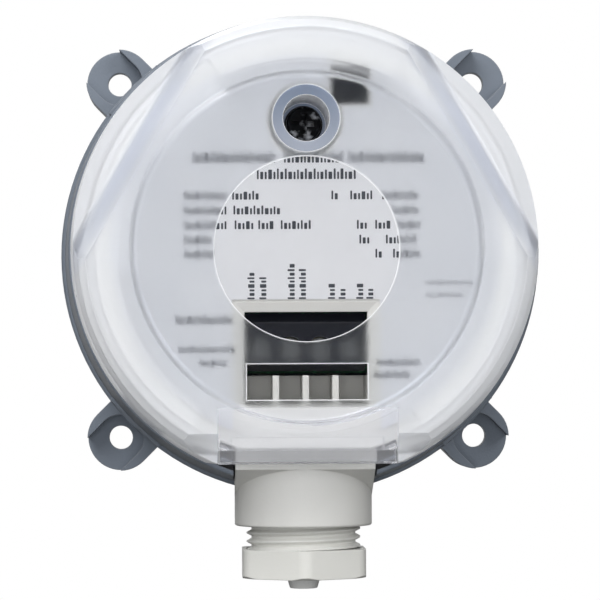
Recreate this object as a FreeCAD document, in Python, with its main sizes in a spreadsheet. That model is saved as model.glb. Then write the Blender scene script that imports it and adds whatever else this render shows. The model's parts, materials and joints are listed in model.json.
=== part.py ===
"""Differential pressure transmitter: a round wall housing with a frosted cover and a cable gland.

Every piece is drawn lying on its back, with x to the right, y up the wall and z out of the wall,
and is then stood up by its placement: +Z up, front towards -Y, mounting plane at Y = 0.
The origin is the centre of the four ear holes, on the mounting plane.
"""
import FreeCAD, Part
import math
import os
import re
import Sketcher
from FreeCAD import Placement, Rotation, Vector

# Driving dimensions in millimetres. Levels are distances in front of the mounting plane, and
# "below" sizes are distances down from the housing's axis.
SIZES = [
    # Rear housing
    ("inner_radius", 38.0, "inside of the housing's wall"),
    ("base_wall", 2.6, "wall at the mounting plane"),
    ("lower_wall", 3.2, "wall just behind the flange"),
    ("upper_wall", 3.8, "wall just in front of the flange"),
    ("rim_wall", 2.4, "wall at the rim"),
    ("flange_reach", 4.5, "flange's edge from the inside of the wall"),
    ("flange_level", 19.5, "back of the flange"),
    ("flange_height", 1.8, "thickness of the flange"),
    ("base_chamfer", 1.0, "chamfer at the mounting plane"),
    ("edge_round", 0.4, "outer edges of mouldings"),
    ("corner_round", 1.0, "inner corners of mouldings"),
    ("rim_level", 40.0, "front of the rim"),
    ("floor_thickness", 2.5, "back wall"),
    ("wall_lap", 0.6, "ears and webs reach this far into the wall"),
    ("ear_reach", 7.962, "ear holes from the inside of the wall: a square of 65 mm"),
    ("ear_end_radius", 6.0, "round end and half width of an ear"),
    ("ear_height", 7.0, "side walls of an ear"),
    ("ear_floor", 2.5, "floor under the mounting screw's head"),
    ("ear_hole_radius", 2.15, "hole for a 4 mm screw"),
    ("ear_pocket_radius", 4.25, "room for the screw's head"),
    ("web_reach", 4.0, "web above an ear, from the inside of the wall"),
    ("web_rise", 1.2, "web above the flange"),
    ("post_x", 25.0, "housing screws, sideways from the axis"),
    ("post_y", 18.0, "housing screws, up and down from the axis"),
    ("post_radius", 5.0, "posts round the housing screws"),
    ("post_top", 22.0, "seat of the terminal housing on the posts"),
    ("nozzle_spacing", 11.0, "hose nozzles, centre to centre"),
    ("nozzle_level", 9.0, "axis of the nozzles"),
    ("nozzle_radius", 3.0, "nozzle for a 6 mm hose"),
    ("nozzle_bore_radius", 1.4, "bore of the nozzle"),
    ("nozzle_reach", 11.5, "tip of the nozzle outside the flange"),
    ("nozzle_taper", 1.2, "length of the tapered tip"),
    ("nozzle_collar", 1.5, "collar of the nozzle inside the wall"),
    ("collar_radius", 4.2, "collar that stops the hose"),
    ("collar_inset", 0.5, "collar's face inside the flange's edge"),
    ("spigot_radius", 2.0, "inner end of the nozzle"),
    ("spigot_length", 5.0, "inner end of the nozzle"),
    # Cover screw and its post
    ("well_above", 21.7, "cover screw, above the axis"),
    ("screw_post_radius", 4.2, "post that takes the cover screw"),
    ("post_gap", 1.6, "post to the cover's screw well"),
    ("screw_radius", 1.7, "shank of the cover screw"),
    ("screw_fit", 0.15, "room round the shank"),
    ("screw_length", 10.5, "shank below the head"),
    ("screw_head_radius", 3.0, "head of the cover screw"),
    ("screw_head_height", 2.4, "head of the cover screw"),
    ("screw_head_round", 0.7, "edge of the head"),
    ("screw_tip_radius", 1.1, "end of the shank"),
    ("screw_tip_length", 1.0, "end of the shank"),
    ("screw_slot_width", 1.0, "arm of the cross recess"),
    ("screw_slot_length", 3.6, "cross recess, tip to tip"),
    ("screw_slot_depth", 1.4, "cross recess"),
    ("washer_room", 0.7, "room for the seal under the head"),
    ("washer_gap", 0.05, "seal to its neighbours"),
    ("washer_radius", 3.3, "seal under the head"),
    # Cover
    ("seat_gap", 0.1, "cover above the rim"),
    ("skirt_inset", 0.3, "cover's foot inside the edge of the rim"),
    ("skirt_height", 9.9, "from the foot to the ledges"),
    ("skirt_draft", 0.9, "skirt narrower at the ledges"),
    ("crown_height", 4.6, "from the ledges to the front"),
    ("crown_draft", 0.9, "crown narrower behind its front edge"),
    ("front_bevel", 1.3, "width of the front edge's bevel"),
    ("front_edge", 1.4, "depth of the front edge's bevel"),
    ("front_ring", 8.0, "ring round the recess"),
    ("recess_draft", 0.6, "recess wider at its mouth by this much"),
    ("recess_depth", 1.6, "round recess"),
    ("cover_wall", 2.2, "wall of the cover"),
    ("chord_ring", 2.2, "ring left between the recess and the flats"),
    ("chord_slope", 3.2, "flats lean out by this much down to the ledges"),
    ("lip_fit", 0.3, "locating lip inside the housing's wall"),
    ("lip_depth", 2.5, "locating lip"),
    ("lip_wall", 1.3, "locating lip"),
    ("lobe_wall", 1.6, "outer wall of each raised lobe"),
    ("lobe_sweep", 54.0, "hollow under each lobe, degrees"),
    ("nose_half_width", 15.0, "nose over the gland"),
    ("nose_inset", 1.8, "flat end of the nose, from the inside of the housing's wall"),
    ("tube_radius", 5.7, "screw well, outside"),
    ("well_radius", 3.9, "screw well, inside"),
    ("well_depth", 14.5, "screw well, below the recess floor"),
    ("well_floor", 2.0, "floor of the screw well"),
    ("window_radius", 15.6, "round polished window"),
    ("slit_half_width", 10.2, "polished window over the wire entries"),
    ("slit_half_height", 3.05, "polished window over the wire entries"),
    ("slit_below", 22.5, "its centre"),
    ("window_step", 0.3, "windows lie this much deeper"),
    ("window_above", -0.2, "centre of the round window"),
    ("gasket_inset", 0.6, "gasket's groove, from the inside of the wall"),
    ("gasket_width", 1.0, "groove in the rim"),
    ("gasket_depth", 0.8, "groove in the rim"),
    ("gasket_fit", 0.05, "gasket in its groove"),
    # Terminal housing
    ("deck_inset", 2.4, "deck and its skirt, from the housing's wall"),
    ("deck_gap", 1.3, "deck to the underside of the ledges"),
    ("deck_thickness", 2.0, "deck"),
    ("deck_wall", 2.0, "skirt under the deck"),
    ("deck_skirt", 14.5, "depth of the skirt"),
    ("column_radius", 4.0, "columns on the posts"),
    ("pitch", 5.08, "poles of the terminal block"),
    ("opening_fit", 0.25, "deck opening round the terminal block"),
    ("opening_bevel", 1.6, "width of the bevel round the opening"),
    ("bevel_depth", 0.6, "depth of that bevel"),
    ("chamber_gap", 0.8, "wire chamber to the terminal block"),
    ("bay_length", 5.1, "wire bays in the opening"),
    ("ramp_set", 0.5, "ramp begins past the opening"),
    ("ramp_drop", 4.5, "foot of the ramp, behind the gland's axis"),
    ("rib_run", 0.5, "ribs end past the top of the ramp"),
    ("rib_thickness", 1.1, "ribs between the wire bays"),
    ("rib_drop", 3.0, "ribs below the deck"),
    ("chamber_set", 0.2, "chamber's end wall inside the cover's nose"),
    ("chamber_wall", 1.4, "walls of the chamber"),
    ("chamber_depth", 13.5, "floor between the ribs, below the deck"),
    ("well_hole_fit", 0.4, "deck hole round the screw well"),
    ("header_across", 7.65, "range header, right of the axis"),
    ("header_above", 27.7, "range header, above the axis"),
    ("header_side", 5.6, "range header"),
    ("header_drop", 4.5, "range header below the deck"),
    ("header_fit", 0.4, "deck cut-out round the header"),
    ("label_edge", 2.5, "label inside the edge of the deck"),
    ("label_thickness", 0.25, "printed label"),
    ("label_margin", 0.5, "label round the openings"),
    # Cable gland
    ("gland_drop", 11.0, "axis of the gland, behind the rim"),
    ("boss_radius", 12.0, "gland body"),
    ("boss_length", 11.0, "gland body outside the nose"),
    ("notch_fit", 0.3, "room between gland body and housing wall"),
    ("neck_length", 6.0, "square neck outside the nose"),
    ("neck_slope", 5.0, "length of the slope at its end"),
    ("neck_drop", 0.1, "step for the nose, below the rim"),
    ("nose_fit", 0.3, "deck and neck clear the nose"),
    ("thread_core_radius", 9.1, "core of the M20 thread"),
    ("thread_length", 6.1, "thread outside the gland body"),
    ("gland_bore_radius", 8.0, "bore for the seal"),
    ("seal_bore_depth", 11.9, "bore for the seal"),
    ("passage_radius", 6.0, "way in for the cable"),
    ("nut_flats", 21.4, "nut across flats"),
    ("nut_gap", 4.0, "thread seen between gland body and nut"),
    ("nut_height", 5.0, "nut"),
    ("nut_bore_radius", 10.05, "thread in the nut"),
    ("nut_end_wall", 1.2, "nut"),
    ("nut_hole_radius", 5.5, "cable hole in the nut"),
    ("nut_corner", 2.6, "rounding of the nut's corners"),
    ("nut_bevel", 0.6, "bevel of the nut's outer end"),
    ("nut_face_radius", 11.2, "round face at the nut's outer end"),
    ("ring_thickness", 1.0, "thrust ring"),
    ("ring_radius", 7.7, "thrust ring"),
    ("ring_gap", 0.1, "thrust ring to nut"),
    ("seal_fit", 0.3, "seal in its bore"),
    ("seal_length", 9.5, "seal behind the thrust ring"),
    ("nub_radius", 3.0, "blind nub of the seal"),
    ("nub_tip_radius", 2.4, "blind nub of the seal"),
    ("nub_length", 2.0, "nub outside the nut"),
    ("nub_root_radius", 4.2, "nub at the thrust ring"),
    ("nub_edge", 0.3, "rounding of the nub's tip"),
    ("nub_skin", 1.5, "closed end of the nub"),
    ("seal_bore_radius", 0.8, "seal"),
    ("seal_lead_length", 1.5, "cone at the seal's inner end"),
    ("seal_lead_depth", 0.8, "cone at the seal's inner end"),
    # Electronics
    ("board_depth", 15.5, "front of the board, below the front of the deck"),
    ("board_inset", 1.2, "board inside the deck's skirt"),
    ("board_thickness", 1.6, "circuit board"),
    ("board_end", 21.0, "straight lower edge of the board"),
    ("board_fit", 0.4, "board round columns and post"),
    ("block_drop", 2.3, "terminal block below the front of the deck"),
    ("cage_lift", 2.2, "wire cages above the board"),
    ("boss_side", 27.0, "side bosses for the board screws"),
    ("boss_side_above", 3.0, "side bosses for the board screws"),
    ("boss_top", 14.5, "upper bosses for the board screws"),
    ("boss_top_above", 26.0, "upper bosses for the board screws"),
    ("board_boss_radius", 2.6, "bosses for the board screws"),
    ("block_start", 10.9, "upper side of the terminal block"),
    ("block_end", 20.6, "wire side of the terminal block"),
    ("block_screw_below", 16.9, "terminal screws"),
    ("block_well_radius", 2.1, "wells over the terminal screws"),
    ("block_bevel", 1.5, "upper edge of the block"),
    ("block_lean_depth", 2.5, "slope above the wire entries"),
    ("block_lean", 1.0, "slope above the wire entries"),
    ("bay_spare", 0.5, "bays run on behind the cages"),
    ("cage_inset", 0.5, "cages set back in their bays"),
    ("cage_hole_radius", 1.3, "screw hole in a cage"),
    ("cage_width", 3.8, "wire cages"),
    ("cage_height", 5.0, "wire cages"),
    ("cage_depth", 7.0, "wire cages"),
    ("cage_wall", 0.5, "wire cages"),
    ("cage_fit", 0.15, "cage in its bay"),
    ("terminal_shank_radius", 1.1, "terminal screw"),
    ("terminal_lift", 0.4, "terminal screw above cage and wire"),
    ("terminal_head_height", 1.8, "terminal screw"),
    ("terminal_head_fit", 0.25, "terminal screw in its well"),
    ("terminal_slot_width", 0.7, "terminal screw"),
    ("terminal_slot_depth", 0.8, "terminal screw"),
    ("sensor_half_width", 8.0, "pressure sensor"),
    ("sensor_above", 5.0, "ports of the sensor"),
    ("sensor_half_height", 6.5, "pressure sensor"),
    ("sensor_depth", 7.0, "pressure sensor"),
    ("port_length", 6.0, "ports of the sensor"),
    ("hose_radius", 3.0, "inner hoses, outside"),
    ("hose_fit", 0.1, "hose round spigot and port"),
    ("hose_bend", 8.0, "bend of the inner hoses"),
    ("hose_grip", 3.2, "hose pushed over a spigot"),
    ("hose_end_gap", 0.2, "hose to the sensor's case"),
    ("processor_across", 16.0, "signal processor, left of the axis"),
    ("processor_below", 4.0, "signal processor, below the axis"),
    ("processor_width", 10.0, "signal processor"),
    ("processor_height", 9.2, "signal processor"),
    ("processor_thickness", 1.6, "signal processor"),
    ("case_standoff", 0.3, "cases above the board"),
    ("lead_pitch", 1.6, "leads of the signal processor"),
    ("lead_width", 0.7, "leads of the signal processor"),
    ("lead_reach", 1.6, "leads outside the case"),
    ("lead_thickness", 0.4, "leads"),
    ("regulator_across", 17.0, "voltage regulator, right of the axis"),
    ("regulator_below", 7.1, "voltage regulator, below the axis"),
    ("regulator_width", 6.6, "voltage regulator"),
    ("regulator_height", 6.2, "voltage regulator"),
    ("regulator_thickness", 2.2, "voltage regulator"),
    ("tab_inset", 0.1, "metal tab narrower than the case"),
    ("tab_reach", 1.7, "metal tab outside the case"),
    ("capacitor_across", 19.2, "filter capacitors, from the axis"),
    ("capacitor_above", 10.6, "filter capacitors, above the axis"),
    ("capacitor_radius", 3.1, "filter capacitors"),
    ("capacitor_height", 6.5, "filter capacitors"),
    ("capacitor_foot", 6.6, "square foot of a capacitor"),
    ("capacitor_foot_height", 1.2, "square foot of a capacitor"),
    ("chip_pitch", 3.2, "chip resistors"),
    ("chip_width", 1.3, "chip resistors"),
    ("chip_length", 2.0, "chip resistors"),
    ("chip_thickness", 0.6, "chip resistors"),
    ("chip_above", 4.0, "chip resistors, above the axis"),
    ("header_wall", 0.8, "range header"),
    ("header_floor", 2.5, "range header"),
    ("pin_pitch", 2.54, "pins of the range header"),
    ("pin_width", 0.64, "pins of the range header"),
    ("pin_top", 8.5, "pins above the board"),
    ("pin_root", 0.5, "pins in the header's floor"),
    ("pin_fit", 0.1, "jumper round the pins"),
    ("jumper_length", 3.6, "range jumper"),
    ("jumper_width", 2.5, "range jumper"),
    ("jumper_proud", 0.8, "range jumper out of the header"),
    # Small screws
    ("board_screw_radius", 1.1, "shank"),
    ("board_head_radius", 2.3, "head"),
    ("board_head_height", 1.6, "head"),
    ("board_screw_length", 9.0, "shank"),
    ("housing_screw_radius", 1.6, "shank"),
    ("housing_head_radius", 3.0, "head"),
    ("housing_head_height", 2.4, "head"),
    ("housing_recess", 4.2, "heads sunk in the back wall"),
    ("housing_screw_bite", 10.0, "shank inside the column"),
    ("pilot_fit", 0.15, "holes round screw shanks"),
    ("pilot_spare", 1.0, "pilot holes run on past the screws"),
]

# Sizes and places that follow from the driving ones
FOLLOWING = {
    "base_radius": "inner_radius + base_wall",
    "lower_wall_radius": "inner_radius + lower_wall",
    "upper_wall_radius": "inner_radius + upper_wall",
    "rim_radius": "inner_radius + rim_wall",
    "flange_radius": "inner_radius + flange_reach",
    "flange_front": "flange_level + flange_height",
    "web_radius": "inner_radius + web_reach",
    "ear_from_axis": "inner_radius + ear_reach",
    "nozzle_end": "flange_radius + nozzle_reach",
    "spigot_end": "inner_radius - spigot_length",
    "gasket_inner_radius": "inner_radius + gasket_inset",
    "seat": "rim_level + seat_gap",
    "ledge_level": "seat + skirt_height",
    "front_level": "ledge_level + crown_height",
    "skirt_radius": "rim_radius - skirt_inset",
    "ledge_radius": "skirt_radius - skirt_draft",
    "shoulder_radius": "ledge_radius - crown_draft",
    "front_radius": "shoulder_radius - front_bevel",
    "recess_radius": "front_radius - front_ring",
    "recess_mouth": "recess_radius + recess_draft",
    "recess_floor": "front_level - recess_depth",
    "ledge_inside": "ledge_level - cover_wall",
    "chord_top": "recess_radius + chord_ring",
    "chord_foot": "chord_top + chord_slope",
    "chord_edge": "chord_top + chord_slope * edge_round / crown_height",
    "lip_radius": "inner_radius - lip_fit",
    "lip_inside": "lip_radius - lip_wall",
    "nose_below": "inner_radius - nose_inset",
    "nose_root": "(recess_mouth + chord_top) / 2",
    "nose_inside": "nose_below - cover_wall - nose_fit",
    "well_seat": "recess_floor - well_depth",
    "head_seat": "well_seat + washer_room",
    "screw_post_top": "well_seat - well_floor - post_gap",
    "deck_radius": "inner_radius - deck_inset",
    "deck_front": "ledge_inside - deck_gap",
    "deck_back": "deck_front - deck_thickness",
    "skirt_foot": "deck_front - deck_skirt",
    "block_half": "2 * pitch",
    "block_top": "deck_front - block_drop",
    "opening_half": "block_half + opening_fit",
    "opening_start": "block_start - opening_fit",
    "chamber_start": "block_end + chamber_gap",
    "opening_end": "chamber_start + bay_length",
    "ramp_start": "opening_end + ramp_set",
    "rib_end": "ramp_start + rib_run",
    "rib_top": "deck_front - rib_drop",
    "chamber_end": "nose_inside - chamber_set",
    "chamber_inside": "chamber_end - chamber_wall",
    "chamber_floor": "deck_front - chamber_depth",
    "gland_level": "rim_level - gland_drop",
    "ramp_foot": "gland_level - ramp_drop",
    "neck_step": "nose_below + nose_fit",
    "neck_seat": "rim_level - neck_drop",
    "neck_front": "gland_level + boss_radius",
    "neck_end": "neck_step + neck_length",
    "boss_end": "neck_step + boss_length",
    "thread_end": "boss_end + thread_length",
    "gland_bore_start": "thread_end - seal_bore_depth",
    "nut_start": "boss_end + nut_gap",
    "nut_end": "nut_start + nut_height",
    "ring_start": "nut_end - nut_end_wall - ring_gap - ring_thickness",
    "seal_start": "ring_start - seal_length",
    "seal_radius": "gland_bore_radius - seal_fit",
    "nub_tip": "nut_end + nub_length",
    "board_front": "deck_front - board_depth",
    "board_back": "board_front - board_thickness",
    "board_radius": "deck_radius - deck_wall - board_inset",
    "cage_level": "board_front + cage_lift",
    "sensor_back": "board_back - sensor_depth",
    "header_top": "deck_front - header_drop",
    "header_base": "board_front + header_floor",
    "label_radius": "deck_radius - label_edge",
    "label_front": "deck_front + label_thickness",
}
PAST = "1"  # how far a cut runs past what it cuts
TINY = 1e-4
CROSS_REACH, CROSS_WIDTH, CROSS_DEPTH = 0.55, 0.16, 0.6  # shares of a head's radius and height

doc = FreeCAD.newDocument("pressure_transmitter")
sheet = doc.addObject("Spreadsheet::Sheet", "sizes")
for row, (alias, value, meaning) in enumerate(SIZES, start=1):
    sheet.set(f"A{row}", alias)
    sheet.set(f"B{row}", str(value))
    sheet.setAlias(f"B{row}", alias)
    sheet.set(f"C{row}", meaning)
doc.recompute()

ALIASES = {alias for alias, _, _ in SIZES}
STANDING = Placement(Vector(0, 0, 0), Rotation(Vector(1, 0, 0), 90))
FULL_TURN = 360.0


def formula(text):
    """Spell a formula out in the sheet's own aliases."""
    def spelled_out(match):
        word = match.group(0)
        if word in FOLLOWING:
            return f"({formula(FOLLOWING[word])})"
        return f"sizes.{word}" if word in ALIASES else word
    return re.sub(r"[a-z_][a-z_0-9]*", spelled_out, str(text))


def worth(text):
    """Present value of a formula, as the first guess for a sketch."""
    result = sheet.evalExpression(formula(text))
    return float(getattr(result, "Value", result))


def new_body(label):
    body = doc.addObject("PartDesign::Body", label)
    body.Label = label
    body.Placement = STANDING
    return body


def origin_feature(body, role):
    return next(item for item in body.Origin.OriginFeatures if item.Role == role)


def new_sketch(body, name, plane="XY_Plane", level="0", rise="0", turned=0.0, swung=0.0):
    """Empty sketch on an origin plane. Level moves it along the plane's normal and rise moves its
    origin along its own second axis. It is turned about the normal and swung about that axis,
    both in degrees."""
    sketch = body.newObject("Sketcher::SketchObject", name)
    sketch.AttachmentSupport = [(origin_feature(body, plane), "")]
    sketch.MapMode = "FlatFace"
    turn = Rotation(Vector(0, 0, 1), turned).multiply(Rotation(Vector(0, 1, 0), swung))
    sketch.AttachmentOffset = Placement(Vector(0, 0, 0), turn)
    sketch.setExpression("AttachmentOffset.Base.y", formula(rise))
    sketch.setExpression("AttachmentOffset.Base.z", formula(level))
    return sketch


def pin_point(sketch, geometry, point, place):
    """Tie one point of a sketch to a pair of formulas."""
    for kind, text in zip(("DistanceX", "DistanceY"), place):
        rule = Sketcher.Constraint(kind, -1, 1, geometry, point, worth(text))
        index = sketch.addConstraint(rule)
        sketch.setExpression(f"Constraints[{index}]", formula(text))


def tie(sketch, kind, *ends):
    return sketch.addConstraint(Sketcher.Constraint(kind, *ends))


def toward(corner, other, distance):
    return corner + (other - corner).normalize() * distance


def round_corner(sketch, lines, place, corner, entry, leave):
    """Arc of a given radius between two lines, with the corner kept as a construction point."""
    mark = sketch.addGeometry(Part.Point(corner), True)
    pin_point(sketch, mark, 1, place[:2])
    radius = worth(place[2])
    inward = ((entry - corner) + (leave - corner)).normalize()
    middle = corner + inward * math.hypot(radius, (entry - corner).Length)
    bearings = [math.atan2(point.y - middle.y, point.x - middle.x) for point in (entry, leave)]
    left_turn = (corner - entry).cross(leave - corner).z > 0
    ends = (1, 2) if left_turn else (2, 1)
    circle = Part.Circle(middle, Vector(0, 0, 1), radius)
    first, last = bearings if left_turn else bearings[::-1]
    arc = sketch.addGeometry(Part.ArcOfCircle(circle, first, last), False)
    for line, line_end, arc_end in ((lines[0], 2, ends[0]), (lines[1], 1, ends[1])):
        tie(sketch, "Tangent", line, line_end, arc, arc_end)
        tie(sketch, "PointOnObject", mark, 1, line)
    index = tie(sketch, "Radius", arc, radius)
    sketch.setExpression(f"Constraints[{index}]", formula(place[2]))


def add_outline(sketch, places):
    """Closed outline of straight lines. Each corner is a pair of formulas, with a third for its
    radius where it is rounded."""
    corners = [Vector(worth(place[0]), worth(place[1]), 0) for place in places]
    entries, leaves = [], []
    for index, (corner, place) in enumerate(zip(corners, places)):
        before, after = corners[index - 1], corners[(index + 1) % len(corners)]
        trim = 0.0
        if len(place) == 3:
            opening = (before - corner).getAngle(after - corner)
            trim = worth(place[2]) / math.tan(opening / 2)
        entries.append(toward(corner, before, trim))
        leaves.append(toward(corner, after, trim))
    lines = []
    for leave, entry in zip(leaves, entries[1:] + entries[:1]):
        lines.append(sketch.addGeometry(Part.LineSegment(leave, entry), False))
    for index, place in enumerate(places):
        meeting = (lines[index - 1], lines[index])
        if len(place) == 3:
            round_corner(sketch, meeting, place, corners[index], entries[index], leaves[index])
        else:
            tie(sketch, "Coincident", meeting[0], 2, meeting[1], 1)
            pin_point(sketch, meeting[1], 1, place)


def add_box(sketch, left, right, low, high):
    add_outline(sketch, [(left, low), (right, low), (right, high), (left, high)])


def add_circle(sketch, across, up, radius):
    middle = Vector(worth(across), worth(up), 0)
    circle = sketch.addGeometry(Part.Circle(middle, Vector(0, 0, 1), worth(radius)), False)
    pin_point(sketch, circle, 3, (across, up))
    index = sketch.addConstraint(Sketcher.Constraint("Radius", circle, worth(radius)))
    sketch.setExpression(f"Constraints[{index}]", formula(radius))


def outline(body, name, places, **where):
    sketch = new_sketch(body, name, **where)
    add_outline(sketch, places)
    return sketch


def boxes(body, name, edges, **where):
    """Sketch of rectangles, each given as left, right, low and high."""
    sketch = new_sketch(body, name, **where)
    for left, right, low, high in edges:
        add_box(sketch, left, right, low, high)
    return sketch


def circles(body, name, rounds, **where):
    """Sketch of circles, each given as across, up and radius."""
    sketch = new_sketch(body, name, **where)
    for across, up, radius in rounds:
        add_circle(sketch, across, up, radius)
    return sketch


def feature(body, kind, sketch, suffix):
    made = body.newObject(kind, f"{sketch.Name}_{suffix}")
    made.Profile = sketch
    return made


def pad(body, sketch, length, both_ways=False, backward=False):
    made = feature(body, "PartDesign::Pad", sketch, "pad")
    made.Midplane = both_ways
    made.Reversed = backward
    made.setExpression("Length", formula(length))
    return made


def pocket(body, sketch, depth, both_ways=False, forward=False):
    """Cut behind the sketch, or in front of it where forward is true."""
    made = feature(body, "PartDesign::Pocket", sketch, "cut")
    made.Midplane = both_ways
    made.Reversed = forward
    made.setExpression("Length", formula(depth))
    return made


def turning(body, sketch, axis="V_Axis", sweep=FULL_TURN, cut=False, both_ways=False):
    """Revolve a sketch about one of its own axes, as material or as a cut."""
    kind = "PartDesign::Groove" if cut else "PartDesign::Revolution"
    made = feature(body, kind, sketch, "turned")
    made.ReferenceAxis = (sketch, [axis])
    made.Midplane = both_ways
    made.setExpression("Angle", formula(sweep))
    return made


def around_axis(body, originals, count):
    pattern = body.newObject("PartDesign::PolarPattern", f"{originals[0].Name}_around")
    pattern.Originals = originals
    pattern.Axis = (origin_feature(body, "Z_Axis"), [""])
    pattern.Angle = FULL_TURN
    pattern.Occurrences = count
    body.Tip = pattern
    return pattern


def left_and_right(body, originals):
    pattern = body.newObject("PartDesign::Mirrored", f"{originals[0].Name}_mirrored")
    pattern.Originals = originals
    pattern.MirrorPlane = (origin_feature(body, "YZ_Plane"), [""])
    body.Tip = pattern
    return pattern


def runs_along(edge, direction):
    return edge.Curve.TypeId == "Part::GeomLine" and abs(edge.Curve.Direction.dot(direction)) > 1 - TINY


def round_edges(body, made, name, radius, direction):
    """Round the edges of a feature that run along one direction."""
    doc.recompute()
    edges = []
    for index, edge in enumerate(made.Shape.Edges, start=1):
        if runs_along(edge, direction):
            edges.append(f"Edge{index}")
    rounded = body.newObject("PartDesign::Fillet", name)
    rounded.Base = (made, edges)
    rounded.setExpression("Radius", formula(radius))
    return rounded


def four_corners(across, up, radius):
    return [(f"{sx} * {across}", f"{sy} * {up}", radius) for sx in (-1, 1) for sy in (-1, 1)]


def board_screw_spots(radius):
    """The two side bosses and the two upper bosses that carry the circuit board."""
    spots = []
    for sign in (-1, 1):
        spots.append((f"{sign} * boss_side", "boss_side_above", radius))
        spots.append((f"{sign} * boss_top", "boss_top_above", radius))
    return spots


def pole_places():
    """Sideways places of the terminal block's four poles."""
    return [f"{step} * pitch" for step in (-1.5, -0.5, 0.5, 1.5)]


def rear_housing():
    body = new_body("rear_housing")
    bowl = outline(body, "bowl_section", [
        ("0", "0"),
        ("base_radius - base_chamfer", "0"),
        ("base_radius", "base_chamfer"),
        ("lower_wall_radius", "flange_level"),
        ("flange_radius", "flange_level", "edge_round"),
        ("flange_radius", "flange_front", "edge_round"),
        ("upper_wall_radius", "flange_front"),
        ("rim_radius", "rim_level", "edge_round"),
        ("inner_radius", "rim_level"),
        ("inner_radius", "floor_thickness", "corner_round"),
        ("0", "floor_thickness"),
    ], plane="XZ_Plane")
    turning(body, bowl)

    # One ear, turned to a corner: tab, round end, web up the wall, screw pocket and hole
    reach = "ear_from_axis"
    inside_wall = "inner_radius + wall_lap"
    corner = {"turned": 45.0}
    tab = boxes(body, "ear_tab", [(inside_wall, reach, "-1 * ear_end_radius", "ear_end_radius")], **corner)
    end = circles(body, "ear_end", [(reach, "0", "ear_end_radius")], **corner)
    web = boxes(body, "ear_web", [(inside_wall, "web_radius", "-1 * ear_end_radius", "ear_end_radius")],
                **corner)
    head = circles(body, "ear_head_room", [(reach, "0", "ear_pocket_radius")], level="ear_height", **corner)
    way_out = boxes(body, "ear_way_out", [
        (reach, f"{reach} + 2 * ear_end_radius", "-1 * ear_pocket_radius", "ear_pocket_radius"),
    ], level="ear_height", **corner)
    hole = circles(body, "ear_hole", [(reach, "0", "ear_hole_radius")], level="ear_height", **corner)
    ear = [
        pad(body, tab, "ear_height"),
        pad(body, end, "ear_height"),
        pad(body, web, "flange_front + web_rise"),
        pocket(body, head, "ear_height - ear_floor"),
        pocket(body, way_out, "ear_height - ear_floor"),
        pocket(body, hole, "ear_height"),
    ]
    around_axis(body, ear, 4)

    # U-shaped notch for the gland body, open at the rim
    notch_half = "(boss_radius + notch_fit)"
    notch_place = {"plane": "XZ_Plane", "level": "inner_radius - boss_radius"}
    notch_depth = f"flange_radius - inner_radius + boss_radius + {PAST}"
    notch = circles(body, "notch_round", [("0", "gland_level", notch_half)], **notch_place)
    pocket(body, notch, notch_depth, forward=True)
    notch_mouth = boxes(body, "notch_mouth", [
        (f"-1 * {notch_half}", notch_half, "gland_level", f"rim_level + {PAST}"),
    ], **notch_place)
    pocket(body, notch_mouth, notch_depth, forward=True)

    # Posts for the housing screws and for the cover screw
    posts = circles(body, "posts", four_corners("post_x", "post_y", "post_radius"))
    pad(body, posts, "post_top")
    recesses = circles(body, "screw_recesses",
                       four_corners("post_x", "post_y", "housing_head_radius + 2 * pilot_fit"))
    pocket(body, recesses, "housing_recess", forward=True)
    holes = circles(body, "screw_holes",
                    four_corners("post_x", "post_y", "housing_screw_radius + pilot_fit"))
    pocket(body, holes, "post_top", forward=True)
    screw_post = circles(body, "cover_screw_post", [("0", "well_above", "screw_post_radius")])
    pad(body, screw_post, "screw_post_top")
    pilot = circles(body, "cover_screw_pilot", [("0", "well_above", "screw_radius + screw_fit")],
                    level="screw_post_top")
    pocket(body, pilot, "screw_length")

    # Hose nozzles: a tapered tip outside, a collar in the wall, a thinner spigot inside, one bore
    nozzle_place = {"plane": "YZ_Plane", "level": "nozzle_spacing / 2", "rise": "nozzle_level"}
    collar_start = "-1 * inner_radius + nozzle_collar"
    collar_end = "-1 * flange_radius + collar_inset"
    nozzle = outline(body, "nozzle_section", [
        ("-1 * spigot_end", "0"),
        ("-1 * spigot_end", "spigot_radius"),
        (collar_start, "spigot_radius"),
        (collar_start, "collar_radius"),
        (collar_end, "collar_radius"),
        (collar_end, "nozzle_radius"),
        ("-1 * nozzle_end + nozzle_taper", "nozzle_radius"),
        ("-1 * nozzle_end", "nozzle_radius - nozzle_taper / 2"),
        ("-1 * nozzle_end", "0"),
    ], **nozzle_place)
    bore = outline(body, "nozzle_bore", [
        (f"-1 * spigot_end + {PAST}", "0"),
        (f"-1 * spigot_end + {PAST}", "nozzle_bore_radius"),
        (f"-1 * nozzle_end - {PAST}", "nozzle_bore_radius"),
        (f"-1 * nozzle_end - {PAST}", "0"),
    ], **nozzle_place)
    nozzle_pair = [
        turning(body, nozzle, axis="H_Axis"),
        turning(body, bore, axis="H_Axis", cut=True),
    ]
    left_and_right(body, nozzle_pair)

    groove = boxes(body, "gasket_groove", [
        ("gasket_inner_radius", "gasket_inner_radius + gasket_width",
         "rim_level - gasket_depth", f"rim_level + {PAST}"),
    ], plane="XZ_Plane")
    turning(body, groove, cut=True)
    return body


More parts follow.
